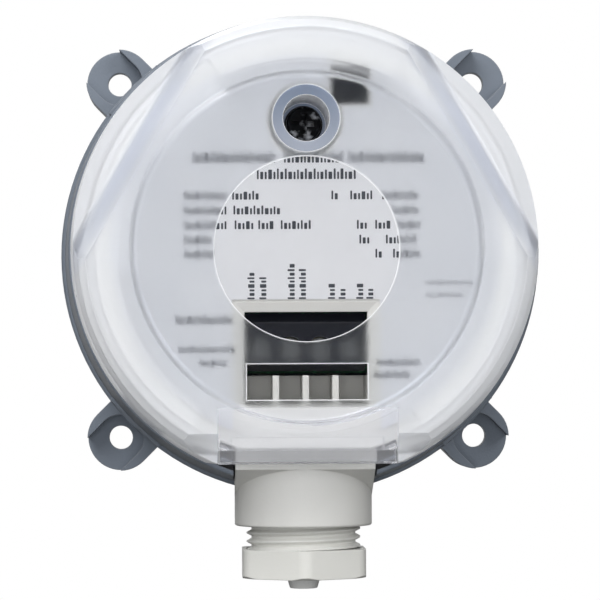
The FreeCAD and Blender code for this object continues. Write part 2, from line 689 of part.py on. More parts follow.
def terminal_housing():
    body = new_body("terminal_housing")
    deck = outline(body, "deck_section", [
        ("0", "deck_front"),
        ("deck_radius", "deck_front", "edge_round"),
        ("deck_radius", "skirt_foot"),
        ("deck_radius - deck_wall", "skirt_foot"),
        ("deck_radius - deck_wall", "deck_back"),
        ("0", "deck_back"),
    ], plane="XZ_Plane")
    turning(body, deck)
    columns = circles(body, "columns", four_corners("post_x", "post_y", "column_radius"), level="post_top")
    pad(body, columns, "deck_back - post_top")
    pilots = circles(body, "column_pilots",
                     four_corners("post_x", "post_y", "housing_screw_radius + pilot_fit"), level="post_top")
    pocket(body, pilots, "housing_screw_bite + pilot_spare", forward=True)
    bosses = circles(body, "board_bosses", board_screw_spots("board_boss_radius"), level="board_front")
    pad(body, bosses, "deck_back - board_front")
    boss_pilots = circles(body, "board_boss_pilots",
                          board_screw_spots("board_screw_radius + pilot_fit"), level="board_front")
    pocket(body, boss_pilots, "board_screw_length", forward=True)

    # The deck ends in a flat behind the cover's nose
    flat = boxes(body, "deck_flat", [
        ("-1 * nose_half_width", "nose_half_width", f"-1 * deck_radius - {PAST}", "-1 * nose_inside"),
    ], level=f"deck_front + {PAST}")
    pocket(body, flat, f"deck_front + {PAST} - neck_seat")

    # Wire chamber between the terminals and the gland
    chamber = outline(body, "chamber_shell", [
        ("-1 * chamber_start", "chamber_floor - chamber_wall"),
        ("-1 * ramp_start", "chamber_floor - chamber_wall"),
        ("-1 * chamber_end", "ramp_foot - 2 * chamber_wall"),
        ("-1 * chamber_end", "deck_back"),
        ("-1 * chamber_start", "deck_back"),
    ], plane="YZ_Plane")
    pad(body, chamber, "2 * (opening_half + chamber_wall)", both_ways=True)
    room = outline(body, "chamber_room", [
        (f"-1 * chamber_start + {PAST}", "chamber_floor"),
        ("-1 * ramp_start", "chamber_floor"),
        ("-1 * chamber_inside", "ramp_foot"),
        ("-1 * chamber_inside", "deck_back"),
        (f"-1 * chamber_start + {PAST}", "deck_back"),
    ], plane="YZ_Plane")
    pocket(body, room, "2 * opening_half", both_ways=True)
    opening = boxes(body, "terminal_opening", [
        ("-1 * opening_half", "opening_half", "-1 * opening_end", "-1 * opening_start"),
    ], level="deck_front")
    pocket(body, opening, f"deck_thickness + {PAST}")
    # A shallow step round the opening, then wedges that meet in mitres and slope it
    step = boxes(body, "opening_step", [
        ("-1 * opening_half - opening_bevel", "opening_half + opening_bevel",
         "-1 * opening_end", "-1 * opening_start + opening_bevel"),
    ], level="deck_front")
    pocket(body, step, "bevel_depth")
    upper_wedge = outline(body, "opening_wedge_upper", [
        ("-1 * opening_start", "deck_front - bevel_depth"),
        ("-1 * opening_start + opening_bevel", "deck_front - bevel_depth"),
        ("-1 * opening_start + opening_bevel", "deck_front"),
    ], plane="YZ_Plane")
    pad(body, upper_wedge, "2 * (opening_half + opening_bevel)", both_ways=True)
    side_wedge = outline(body, "opening_wedge_side", [
        ("opening_half", "deck_front - bevel_depth"),
        ("opening_half + opening_bevel", "deck_front - bevel_depth"),
        ("opening_half + opening_bevel", "deck_front"),
    ], plane="XZ_Plane", level="opening_start - opening_bevel")
    side_slope = pad(body, side_wedge, "opening_end - opening_start + opening_bevel")
    left_and_right(body, [side_slope])
    ribs = boxes(body, "bay_ribs", [
        (f"{step} * pitch - rib_thickness / 2", f"{step} * pitch + rib_thickness / 2",
         "-1 * rib_end", "-1 * chamber_start")
        for step in (-1, 0, 1)
    ], level="chamber_floor - chamber_wall / 2")
    pad(body, ribs, "rib_top - chamber_floor + chamber_wall / 2")

    # Cut-outs for the screw well and the range header
    well_hole = circles(body, "well_hole", [("0", "well_above", "tube_radius + well_hole_fit")],
                        level="deck_front")
    pocket(body, well_hole, "deck_thickness")
    header_half = "(header_side / 2 + header_fit)"
    header_hole = boxes(body, "header_hole", [
        (f"header_across - {header_half}", f"header_across + {header_half}",
         f"header_above - {header_half}", f"header_above + {header_half}"),
    ], level="deck_front")
    pocket(body, header_hole, "deck_thickness")

    # Gland: square neck in the housing's notch, sloped into a round body with a threaded end
    neck = outline(body, "neck_side", [
        ("-1 * chamber_inside", "gland_level"),
        ("-1 * neck_end", "gland_level"),
        ("-1 * neck_end + neck_slope", "neck_front"),
        ("-1 * neck_step", "neck_front"),
        ("-1 * neck_step", "neck_seat"),
        ("-1 * chamber_inside", "neck_seat"),
    ], plane="YZ_Plane")
    pad(body, neck, "2 * boss_radius", both_ways=True)
    gland = outline(body, "gland_section", [
        ("-1 * chamber_inside", "0"),
        ("-1 * chamber_inside", "boss_radius"),
        ("-1 * boss_end", "boss_radius", "edge_round"),
        ("-1 * boss_end", "thread_core_radius"),
        ("-1 * thread_end", "thread_core_radius", "edge_round"),
        ("-1 * thread_end", "0"),
    ], plane="YZ_Plane", rise="gland_level")
    turning(body, gland, axis="H_Axis")
    over_neck = boxes(body, "neck_clearance", [
        ("-1 * nose_half_width", "nose_half_width", "-1 * neck_step", "-1 * nose_inside"),
    ], level=f"neck_front + {PAST}")
    pocket(body, over_neck, f"neck_front + {PAST} - neck_seat")
    gland_bore = outline(body, "gland_bore", [
        ("-1 * chamber_inside + chamber_wall", "0"),
        ("-1 * chamber_inside + chamber_wall", "passage_radius"),
        ("-1 * gland_bore_start", "passage_radius"),
        ("-1 * gland_bore_start", "gland_bore_radius"),
        (f"-1 * thread_end - {PAST}", "gland_bore_radius"),
        (f"-1 * thread_end - {PAST}", "0"),
    ], plane="YZ_Plane", rise="gland_level")
    turning(body, gland_bore, axis="H_Axis", cut=True)
    return body


def cover():
    body = new_body("cover")
    shell = outline(body, "cover_section", [
        ("0", "recess_floor"),
        ("recess_radius", "recess_floor", "corner_round"),
        ("recess_mouth", "front_level", "edge_round"),
        ("front_radius", "front_level", "edge_round"),
        ("shoulder_radius", "front_level - front_edge", "edge_round"),
        ("ledge_radius", "ledge_level"),
        ("skirt_radius", "seat", "edge_round"),
        ("lip_radius", "seat"),
        ("lip_radius", "seat - lip_depth"),
        ("0", "seat - lip_depth"),
    ], plane="XZ_Plane")
    turning(body, shell)

    # Three flats with bevelled edges cut off the raised front, leaving ledges outside them
    chord = outline(body, "chord_side", [
        ("-1 * chord_foot", "ledge_level", "corner_round"),
        ("-1 * chord_edge", "front_level - edge_round"),
        (f"-1 * chord_edge + edge_round + {PAST}", f"front_level + {PAST}"),
        ("-1 * flange_radius", f"front_level + {PAST}"),
        ("-1 * flange_radius", "ledge_level"),
    ], plane="YZ_Plane")
    chord_cut = pocket(body, chord, "2 * flange_radius", both_ways=True)
    around_axis(body, [chord_cut], 3)

    # Nose over the gland, rooted midway in the front ring, then the bevelled flat that ends it
    nose = outline(body, "nose_section", [
        ("-1 * nose_half_width", f"ledge_level - {PAST}"),
        ("nose_half_width", f"ledge_level - {PAST}"),
        ("nose_half_width", "front_level", "edge_round"),
        ("-1 * nose_half_width", "front_level", "edge_round"),
    ], plane="XZ_Plane", level="nose_root")
    pad(body, nose, "nose_below - nose_root")
    flat = outline(body, "nose_flat", [
        ("-1 * nose_below", f"seat - lip_depth - {PAST}"),
        ("-1 * nose_below", "front_level - edge_round"),
        (f"-1 * nose_below + edge_round + {PAST}", f"front_level + {PAST}"),
        ("-1 * flange_radius", f"front_level + {PAST}"),
        ("-1 * flange_radius", f"seat - lip_depth - {PAST}"),
    ], plane="YZ_Plane")
    pocket(body, flat, "2 * flange_radius", both_ways=True)

    # Hollow: the main room, the room under the recess floor and the rooms under the three lobes
    room = outline(body, "cover_room", [
        ("0", f"seat - lip_depth - {PAST}"),
        ("lip_inside", f"seat - lip_depth - {PAST}"),
        ("lip_inside", "seat"),
        ("ledge_radius - cover_wall", "ledge_inside", "corner_round"),
        ("recess_radius + cover_wall", "ledge_inside"),
        ("recess_radius + cover_wall", "recess_floor - cover_wall"),
        ("0", "recess_floor - cover_wall"),
    ], plane="XZ_Plane")
    turning(body, room, cut=True)
    lobe = boxes(body, "lobe_room", [
        ("recess_mouth + cover_wall", "front_radius - lobe_wall",
         f"ledge_inside - {PAST}", "front_level - cover_wall"),
    ], plane="XZ_Plane", swung=-30.0)
    lobe_cut = turning(body, lobe, sweep="lobe_sweep", cut=True, both_ways=True)
    around_axis(body, [lobe_cut], 3)

    # Wall behind the nose's flat and the room inside the nose
    end_wall = boxes(body, "nose_wall", [
        ("-1 * nose_half_width", "nose_half_width", "-1 * nose_below", "-1 * nose_below + cover_wall"),
    ], level="seat")
    pad(body, end_wall, "ledge_level - seat")
    nose_room = boxes(body, "nose_room", [
        ("-1 * nose_half_width + cover_wall", "nose_half_width - cover_wall",
         "-1 * nose_below + cover_wall", "-1 * (recess_mouth + cover_wall)"),
    ], level="front_level - cover_wall")
    pocket(body, nose_room, f"front_level - cover_wall - ledge_inside + {PAST}")
    lip_gap = boxes(body, "lip_gap", [
        (f"-1 * nose_half_width - {PAST}", f"nose_half_width + {PAST}",
         "-1 * flange_radius", "-1 * recess_radius"),
    ], level="seat")
    pocket(body, lip_gap, f"lip_depth + {PAST}")

    # Screw well: a tube down from the recess floor, a seat for the screw's seal and a hole
    tube = circles(body, "well_tube", [("0", "well_above", "tube_radius")],
                   level="well_seat - well_floor")
    pad(body, tube, "well_depth + well_floor - cover_wall / 2")
    well = circles(body, "well_bore", [("0", "well_above", "well_radius")], level="recess_floor")
    pocket(body, well, "well_depth")
    hole = circles(body, "well_hole", [("0", "well_above", "screw_radius + 2 * screw_fit")],
                   level="well_seat")
    pocket(body, hole, f"well_floor + {PAST}")

    # Polished windows, a little deeper than the frosted floor
    window = circles(body, "round_window", [("0", "window_above", "window_radius")], level="recess_floor")
    pocket(body, window, "window_step")
    slit = boxes(body, "wire_window", [
        ("-1 * slit_half_width", "slit_half_width",
         "-1 * slit_below - slit_half_height", "-1 * slit_below + slit_half_height"),
    ], level="recess_floor")
    pocket(body, slit, "window_step")
    return body


def cover_gasket():
    body = new_body("cover_gasket")
    section = boxes(body, "gasket_section", [
        ("gasket_inner_radius + gasket_fit", "gasket_inner_radius + gasket_width - gasket_fit",
         "rim_level - gasket_depth", "rim_level"),
    ], plane="XZ_Plane")
    turning(body, section)
    gap = boxes(body, "gasket_gap", [
        ("-1 * boss_radius - notch_fit", "boss_radius + notch_fit", "-1 * flange_radius", "0"),
    ], level="rim_level")
    pocket(body, gap, "gasket_depth")
    return body


def cover_screw():
    body = new_body("cover_screw")
    section = outline(body, "cover_screw_section", [
        ("0", "head_seat - screw_length"),
        ("screw_tip_radius", "head_seat - screw_length"),
        ("screw_radius", "head_seat - screw_length + screw_tip_length"),
        ("screw_radius", "head_seat"),
        ("screw_head_radius", "head_seat"),
        ("screw_head_radius", "head_seat + screw_head_height", "screw_head_round"),
        ("0", "head_seat + screw_head_height"),
    ], plane="XZ_Plane", level="-1 * well_above")
    turning(body, section)
    half = "screw_slot_length / 2"
    thin = "screw_slot_width / 2"
    for name, across, up in (("recess_bar_level", half, thin), ("recess_bar_upright", thin, half)):
        bar = boxes(body, name, [
            (f"-1 * {across}", across, f"well_above - {up}", f"well_above + {up}"),
        ], level="head_seat + screw_head_height")
        pocket(body, bar, "screw_slot_depth")
    return body


def screw_seal():
    body = new_body("screw_seal")
    ring = circles(body, "screw_seal_ring", [
        ("0", "well_above", "washer_radius"),
        ("0", "well_above", "screw_radius + screw_fit"),
    ], level="well_seat + washer_gap")
    pad(body, ring, "washer_room - 2 * washer_gap")
    return body


def label():
    body = new_body("label")
    round_sheet = circles(body, "label_outline", [("0", "0", "label_radius")], level="deck_front")
    pad(body, round_sheet, "label_thickness")
    header_half = "(header_side / 2 + header_fit + label_margin)"
    beside = "opening_half + opening_bevel + label_margin"
    openings = boxes(body, "label_openings", [
        (f"-1 * ({beside})", beside, "-1 * deck_radius", "-1 * opening_start + opening_bevel + label_margin"),
        (f"header_across - {header_half}", f"header_across + {header_half}",
         f"header_above - {header_half}", "deck_radius"),
    ], level="label_front")
    pocket(body, openings, "label_thickness")
    well_hole = circles(body, "label_well_hole", [
        ("0", "well_above", "tube_radius + well_hole_fit + label_margin"),
    ], level="label_front")
    pocket(body, well_hole, "label_thickness")
    return body


def circuit_board():
    body = new_body("circuit_board")
    disc = circles(body, "board_outline", [("0", "0", "board_radius")], level="board_back")
    pad(body, disc, "board_thickness")
    edge = boxes(body, "board_edge", [
        ("-1 * board_radius", "board_radius", f"-1 * board_radius - {PAST}", "-1 * board_end"),
    ], level="board_front")
    pocket(body, edge, "board_thickness")
    notches = circles(body, "board_notches",
                      four_corners("post_x", "post_y", "column_radius + board_fit"), level="board_front")
    pocket(body, notches, "board_thickness")
    holes = circles(body, "board_holes",
                    board_screw_spots("board_screw_radius + pilot_fit")
                    + [("0", "well_above", "screw_post_radius + board_fit")], level="board_front")
    pocket(body, holes, "board_thickness")
    return body


def cage_edges(grow):
    """Rectangles of the four wire cages, seen along the wires, each larger by grow all round."""
    half = "cage_width / 2"
    return [(f"{place} - {half} - {grow}", f"{place} + {half} + {grow}",
             f"cage_level - {grow}", f"cage_level + cage_height + {grow}") for place in pole_places()]


def terminal_block():
    body = new_body("terminal_block")
    side = outline(body, "block_side", [
        ("-1 * block_start", "board_front"),
        ("-1 * block_start", "block_top - block_bevel"),
        ("-1 * block_start - block_bevel", "block_top"),
        ("-1 * block_end + block_lean", "block_top"),
        ("-1 * block_end", "block_top - block_lean_depth"),
        ("-1 * block_end", "board_front"),
    ], plane="YZ_Plane")
    pad(body, side, "2 * block_half", both_ways=True)
    wells = circles(body, "block_wells",
                    [(place, "-1 * block_screw_below", "block_well_radius") for place in pole_places()],
                    level="block_top")
    pocket(body, wells, "block_top - cage_level - cage_height / 2")
    bays = boxes(body, "block_bays", cage_edges("cage_fit"), plane="XZ_Plane", level="block_end")
    pocket(body, bays, "cage_depth + bay_spare")
    return body


def terminal_screws():
    body = new_body("terminal_screws")
    shank_foot = "(cage_level + cage_height / 2 + terminal_lift)"
    head_foot = "(cage_level + cage_height + terminal_lift)"
    below = "-1 * block_screw_below"
    shanks = circles(body, "terminal_shanks",
                     [(place, below, "terminal_shank_radius") for place in pole_places()], level=shank_foot)
    pad(body, shanks, f"{head_foot} - {shank_foot}")
    heads = circles(body, "terminal_heads",
                    [(place, below, "block_well_radius - terminal_head_fit") for place in pole_places()],
                    level=head_foot)
    pad(body, heads, "terminal_head_height")
    slots = boxes(body, "terminal_slots", [
        (f"{place} - block_well_radius", f"{place} + block_well_radius",
         f"{below} - terminal_slot_width / 2", f"{below} + terminal_slot_width / 2")
        for place in pole_places()
    ], level=f"{head_foot} + terminal_head_height")
    pocket(body, slots, "terminal_slot_depth")
    return body


def terminal_clamps():
    body = new_body("terminal_clamps")
    cages = boxes(body, "cages", cage_edges("0"), plane="XZ_Plane", level="block_end - cage_depth")
    pad(body, cages, "cage_depth - cage_inset")
    throats = boxes(body, "cage_throats", cage_edges("-1 * cage_wall"), plane="XZ_Plane",
                    level=f"block_end - cage_depth - {PAST}")
    pocket(body, throats, f"cage_depth + 2 * {PAST}", forward=True)
    holes = circles(body, "cage_screw_holes",
                    [(place, "-1 * block_screw_below", "cage_hole_radius") for place in pole_places()],
                    level=f"cage_level + cage_height + {PAST}")
    pocket(body, holes, f"cage_wall + 2 * {PAST}")
    return body


def pressure_sensor():
    body = new_body("pressure_sensor")
    case = boxes(body, "sensor_case", [
        ("-1 * sensor_half_width", "sensor_half_width",
         "sensor_above - sensor_half_height", "sensor_above + sensor_half_height"),
    ], level="sensor_back")
    pad(body, case, "sensor_depth")
    spots = [(f"{side} * nozzle_spacing / 2", "sensor_above", "spigot_radius") for side in (-1, 1)]
    ports = circles(body, "sensor_ports", spots, level="sensor_back")
    pad(body, ports, "port_length", backward=True)
    bores = circles(body, "sensor_bores", [(across, up, "spigot_radius / 2") for across, up, _ in spots],
                    level="sensor_back - port_length")
    pocket(body, bores, f"port_length + {PAST}", forward=True)
    return body


def pressure_hose(name, side):
    """Hose from a nozzle's spigot up the back wall, round one bend and onto the sensor's port."""
    body = new_body(name)
    across = f"{side} * nozzle_spacing / 2"
    bore = "spigot_radius + hose_fit"
    bend_below = "(hose_bend - sensor_above)"
    rings = [(across, "nozzle_level", "hose_radius"), (across, "nozzle_level", bore)]
    rising = circles(body, f"{name}_rising", rings, plane="XZ_Plane", level=bend_below)
    pad(body, rising, f"spigot_end + hose_grip - {bend_below}")
    bend_ring = new_sketch(body, f"{name}_bend", plane="XZ_Plane", level=bend_below,
                           rise="nozzle_level + hose_bend")
    add_circle(bend_ring, across, "-1 * hose_bend", "hose_radius")
    add_circle(bend_ring, across, "-1 * hose_bend", bore)
    turning(body, bend_ring, axis="H_Axis", sweep="90")
    leaving = circles(body, f"{name}_leaving",
                      [(across, "sensor_above", "hose_radius"), (across, "sensor_above", bore)],
                      level="nozzle_level + hose_bend")
    pad(body, leaving, "sensor_back - hose_end_gap - nozzle_level - hose_bend")
    return body


def middle_box(across, up, width, height):
    """Rectangle given by its middle and its full sizes."""
    return (f"{across} - {width} / 2", f"{across} + {width} / 2",
            f"{up} - {height} / 2", f"{up} + {height} / 2")


def signal_processor():
    body = new_body("signal_processor")
    across, up = "-1 * processor_across", "-1 * processor_below"
    leads = boxes(body, "processor_leads", [
        middle_box(f"{across} + {step} * lead_pitch", up, "lead_width", "(processor_height + 2 * lead_reach)")
        for step in (-2, -1, 0, 1, 2)
    ], level="board_front")
    pad(body, leads, "lead_thickness")
    case = boxes(body, "processor_case", [middle_box(across, up, "processor_width", "processor_height")],
                 level="board_front + case_standoff")
    pad(body, case, "processor_thickness")
    return body


def voltage_regulator():
    body = new_body("voltage_regulator")
    across, up = "regulator_across", "-1 * regulator_below"
    tab = boxes(body, "regulator_tab", [
        middle_box(across, up, "(regulator_width - 2 * tab_inset)", "(regulator_height + 2 * tab_reach)"),
    ], level="board_front")
    pad(body, tab, "lead_thickness")
    case = boxes(body, "regulator_case", [middle_box(across, up, "regulator_width", "regulator_height")],
                 level="board_front + case_standoff")
    pad(body, case, "regulator_thickness")
    return body


def filter_capacitors():
    body = new_body("filter_capacitors")
    places = [(f"{side} * capacitor_across", "capacitor_above") for side in (-1, 1)]
    feet = boxes(body, "capacitor_feet",
                 [middle_box(across, up, "capacitor_foot", "capacitor_foot") for across, up in places],
                 level="board_front")
    pad(body, feet, "capacitor_foot_height")
    cans = circles(body, "capacitor_cans", [(across, up, "capacitor_radius") for across, up in places],
                   level="board_front + capacitor_foot_height")
    pad(body, cans, "capacitor_height")
    return body


def chip_resistors():
    body = new_body("chip_resistors")
    chips = boxes(body, "resistor_chips", [
        middle_box(f"{step} * chip_pitch", "chip_above", "chip_width", "chip_length")
        for step in (-2, -1, 0, 1, 2)
    ], level="board_front")
    pad(body, chips, "chip_thickness")
    return body


def range_header():
    """Shrouded header with two pins, which the jumper sits on."""
    body = new_body("range_header")
    shroud = boxes(body, "header_shroud",
                   [middle_box("header_across", "header_above", "header_side", "header_side")],
                   level="board_front")
    pad(body, shroud, "header_top - board_front")
    inside = "(header_side - 2 * header_wall)"
    room = boxes(body, "header_room", [middle_box("header_across", "header_above", inside, inside)],
                 level="header_top")
    pocket(body, room, "header_top - header_base")
    pins = boxes(body, "header_pins", [
        middle_box(f"header_across + {side} * pin_pitch", "header_above", "pin_width", "pin_width")
        for side in (-0.5, 0.5)
    ], level="header_base - pin_root")
    pad(body, pins, "board_front + pin_top - header_base + pin_root")
    return body


def range_jumper():
    body = new_body("range_jumper")
    cap = boxes(body, "jumper_cap",
                [middle_box("header_across", "header_above", "jumper_length", "jumper_width")],
                level="header_base")
    pad(body, cap, "header_top + jumper_proud - header_base")
    hole = "(pin_width + 2 * pin_fit)"
    sockets = boxes(body, "jumper_sockets", [
        middle_box(f"header_across + {side} * pin_pitch", "header_above", hole, hole) for side in (-0.5, 0.5)
    ], level="header_base")
    pocket(body, sockets, "board_front + pin_top - header_base + pin_root", forward=True)
    return body


def screw_set(name, spots, head_back, head_radius, head_height, shank_radius, shank_length):
    """Group of like screws, driven from behind: heads with a cross recess, and plain shanks."""
    body = new_body(name)
    heads = circles(body, f"{name}_heads", spots(head_radius), level=head_back)
    pad(body, heads, head_height)
    shanks = circles(body, f"{name}_shanks", spots(shank_radius), level=f"{head_back} + {head_height}")
    pad(body, shanks, shank_length)
    arm = f"{head_radius} * {CROSS_REACH}"
    thin = f"{head_radius} * {CROSS_WIDTH}"
    for bar, wide, tall in (("level", arm, thin), ("upright", thin, arm)):
        edges = []
        for across, up, _ in spots("0"):
            edges.append((f"{across} - {wide}", f"{across} + {wide}", f"{up} - {tall}", f"{up} + {tall}"))
        recess = boxes(body, f"{name}_{bar}", edges, level=head_back)
        pocket(body, recess, f"{head_height} * {CROSS_DEPTH}", forward=True)
    return body


def board_screws():
    return screw_set("board_screws", board_screw_spots, "(board_back - board_head_height)",
                     "board_head_radius", "board_head_height", "board_screw_radius", "board_screw_length")


def housing_screws():
    def corners(radius):
        return four_corners("post_x", "post_y", radius)
    return screw_set("housing_screws", corners, "(housing_recess - housing_head_height)",
                     "housing_head_radius", "housing_head_height", "housing_screw_radius",
                     "post_top - housing_recess + housing_screw_bite")


def gland_nut():
    body = new_body("gland_nut")
    corner = "nut_flats / sqrt(3)"
    places = []
    for step in range(6):
        angle = 90 + 60 * step
        places.append((f"{corner} * cos({angle})", f"gland_level + {corner} * sin({angle})"))
    hexagon = outline(body, "nut_hexagon", places, plane="XZ_Plane", level="nut_start")
    block = pad(body, hexagon, "nut_height")
    round_edges(body, block, "nut_corners", "nut_corner", Vector(0, 1, 0))
    outer_end = "-1 * nut_end"
    bevel = outline(body, "nut_bevel_section", [
        (outer_end, "nut_face_radius"),
        (outer_end, corner),
        (f"{outer_end} + nut_bevel", corner),
    ], plane="YZ_Plane", rise="gland_level")
    turning(body, bevel, axis="H_Axis", cut=True)
    bore = circles(body, "nut_bore", [("0", "gland_level", "nut_bore_radius")], plane="XZ_Plane",
                   level="nut_start")
    pocket(body, bore, "nut_height - nut_end_wall", forward=True)
    hole = circles(body, "nut_hole", [("0", "gland_level", "nut_hole_radius")], plane="XZ_Plane",
                   level="nut_start")
    pocket(body, hole, f"nut_height + {PAST}", forward=True)
    return body


def gland_thrust_ring():
    body = new_body("gland_thrust_ring")
    ring = circles(body, "thrust_ring", [
        ("0", "gland_level", "ring_radius"), ("0", "gland_level", "nut_hole_radius"),
    ], plane="XZ_Plane", level="ring_start")
    pad(body, ring, "ring_thickness")
    return body


def gland_seal():
    body = new_body("gland_seal")
    section = outline(body, "seal_section", [
        ("-1 * seal_start", "seal_bore_radius"),
        ("-1 * seal_start", "seal_radius - seal_lead_depth"),
        ("-1 * seal_start - seal_lead_length", "seal_radius"),
        ("-1 * ring_start", "seal_radius"),
        ("-1 * ring_start", "nub_root_radius"),
        ("-1 * ring_start - ring_thickness - nut_end_wall", "nub_radius"),
        ("-1 * nub_tip", "nub_tip_radius", "nub_edge"),
        ("-1 * nub_tip", "0"),
        ("-1 * nub_tip + nub_skin", "0"),
        ("-1 * nub_tip + nub_skin + seal_bore_radius", "seal_bore_radius"),
    ], plane="YZ_Plane", rise="gland_level")
    turning(body, section, axis="H_Axis")
    return body


MAKERS = [
    rear_housing, terminal_housing, cover, cover_gasket, cover_screw, screw_seal, label, circuit_board,
    terminal_block, terminal_screws, terminal_clamps, pressure_sensor, signal_processor,
    voltage_regulator, filter_capacitors, chip_resistors, range_header, range_jumper, board_screws,
    housing_screws, gland_nut, gland_thrust_ring, gland_seal,
]
bodies = [maker() for maker in MAKERS]
bodies.append(pressure_hose("high_pressure_hose", -1))
bodies.append(pressure_hose("low_pressure_hose", 1))
doc.recompute()

faults = []
for item in doc.Objects:
    if "Up-to-date" not in item.State:
        faults.append(f"{item.Label}: {item.State}")
    elif item.TypeId in ("PartDesign::Pocket", "PartDesign::Groove"):
        if item.Shape.Volume > item.BaseFeature.Shape.Volume - 1e-6:
            faults.append(f"{item.Label}: cuts nothing")
for body in bodies:
    if body.Shape.isNull() or not body.Shape.isValid():
        faults.append(f"{body.Label}: shape is missing or not valid")
if faults:
    raise RuntimeError("; ".join(faults))

os.makedirs("parts", exist_ok=True)
for body in bodies:
    body.Shape.exportStep(f"parts/{body.Label}.step")
    size = body.Shape.optimalBoundingBox(False)
    print(f"{body.Label}: {len(body.Shape.Solids)} solid(s), {body.Shape.Volume:.1f} mm3, "
          f"{size.XLength:.2f} x {size.YLength:.2f} x {size.ZLength:.2f} mm")
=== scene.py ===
# %% [markdown]
# # A round pressure transmitter
#
# The hard shapes come from the CAD model, so this lesson is mostly about finishes: a frosted cover
# with polished windows, moulded plastics, rubber, plated metal and a printed label. A few pieces
# that are too fine for the CAD model, such as the gland's thread and the print, are modelled here.

import json
import math

import bmesh
import bpy
from mathutils import Matrix, Vector


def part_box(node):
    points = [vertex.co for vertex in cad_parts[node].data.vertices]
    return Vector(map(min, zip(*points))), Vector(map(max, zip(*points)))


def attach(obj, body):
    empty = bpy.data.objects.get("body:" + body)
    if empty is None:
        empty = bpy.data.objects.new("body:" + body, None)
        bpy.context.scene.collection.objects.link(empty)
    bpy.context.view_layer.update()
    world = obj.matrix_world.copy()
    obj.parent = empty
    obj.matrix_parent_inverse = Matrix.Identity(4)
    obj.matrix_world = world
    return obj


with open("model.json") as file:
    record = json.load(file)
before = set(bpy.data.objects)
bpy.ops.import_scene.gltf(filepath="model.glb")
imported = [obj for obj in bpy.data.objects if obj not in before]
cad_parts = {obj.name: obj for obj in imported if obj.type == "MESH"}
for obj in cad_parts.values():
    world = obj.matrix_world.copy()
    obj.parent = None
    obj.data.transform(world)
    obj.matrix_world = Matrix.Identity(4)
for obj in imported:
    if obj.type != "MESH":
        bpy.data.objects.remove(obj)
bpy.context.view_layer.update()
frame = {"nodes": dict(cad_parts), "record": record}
nodes = frame["nodes"]
MM = 0.001

# %% [markdown]
# ## Tools for finishes
#
# A finish is a small tree of shader nodes. Colours are written as the hex values that a paint
# programme shows, so one function turns them into the linear values that the renderer adds up.
# Another adds a node, sets its settings and links its inputs, and that is all a tree needs. A
# pattern's scale is worked out from the size of its grains, because a noise of scale 1 has grains
# of about a metre.


# %% Colours, nodes and an empty material
def linear(hex_colour):
    """An sRGB hex value as the renderer's linear colour."""
    channels = [int(hex_colour[i:i + 2], 16) / 255 for i in (1, 3, 5)]
    return [c / 12.92 if c <= 0.04045 else ((c + 0.055) / 1.055) ** 2.4 for c in channels] + [1.0]


def add_node(tree, kind, inputs=None, **settings):
    """A new node with its settings, and each input set to a value or linked to an output."""
    node = tree.nodes.new(kind)
    for name, value in settings.items():
        setattr(node, name, value)
    for name, value in (inputs or {}).items():
        if isinstance(value, bpy.types.NodeSocket):
            tree.links.new(value, node.inputs[name])
        else:
            node.inputs[name].default_value = value
    return node


def new_finish(name):
    """An empty material, its tree, its main shader and the piece's own coordinates."""
    material = bpy.data.materials.new(name)
    material.use_nodes = True
    tree = material.node_tree
    tree.nodes.clear()
    shader = add_node(tree, "ShaderNodeBsdfPrincipled")
    add_node(tree, "ShaderNodeOutputMaterial", {"Surface": shader.outputs[0]})
    place = add_node(tree, "ShaderNodeTexCoord").outputs["Object"]
    return material, tree, shader, place


def feed(tree, shader, name, output):
    """Links an output to one of the shader's inputs."""
    tree.links.new(output, shader.inputs[name])


def per_metre(size_mm):
    """Noise scale that gives grains of this size."""
    return 1 / (size_mm * MM)


print("a mid grey of #808080 is", round(linear("#808080")[0], 3), "in linear light")

# %% [markdown]
# ## Moulded plastics
#
# The housing, the carrier and the gland are injection moulded. Their steel moulds were spark
# eroded, which leaves a fine matt grain, and the plastic flows in with slight changes of shade. A
# picture of the grain could be wrapped round each piece, but that needs unwrapping, and noise in
# the piece's own coordinates doesn't. So one function makes all of them from a colour, a grain size
# and a roughness: a soft noise shifts the colour by a few percent, and a fine one drives both the
# bump and the gloss. The real grain is about 0.1 mm, too fine for this picture, so it is drawn
# coarser. No moulded edge is quite sharp. A Bevel node bends the shading round each edge, and where
# it departs from the flat face the edge has been rubbed a little paler.

# %% A moulded plastic
EDGE_RADIUS = 0.3 * MM
EDGE_WEAR = 0.12                 # how far a rubbed edge goes towards white
EDGE_AGREE = (0.75, 0.97)        # cosine of the shading's bend: on an edge, on a face
SHADE_MM = 18                    # size of the soft changes of shade
GLOSS_SPREAD = 0.08              # how far the grain moves the roughness each way
GRAIN_DEPTH = 0.3                # share of the grain's size
PLASTIC_IOR = 1.53


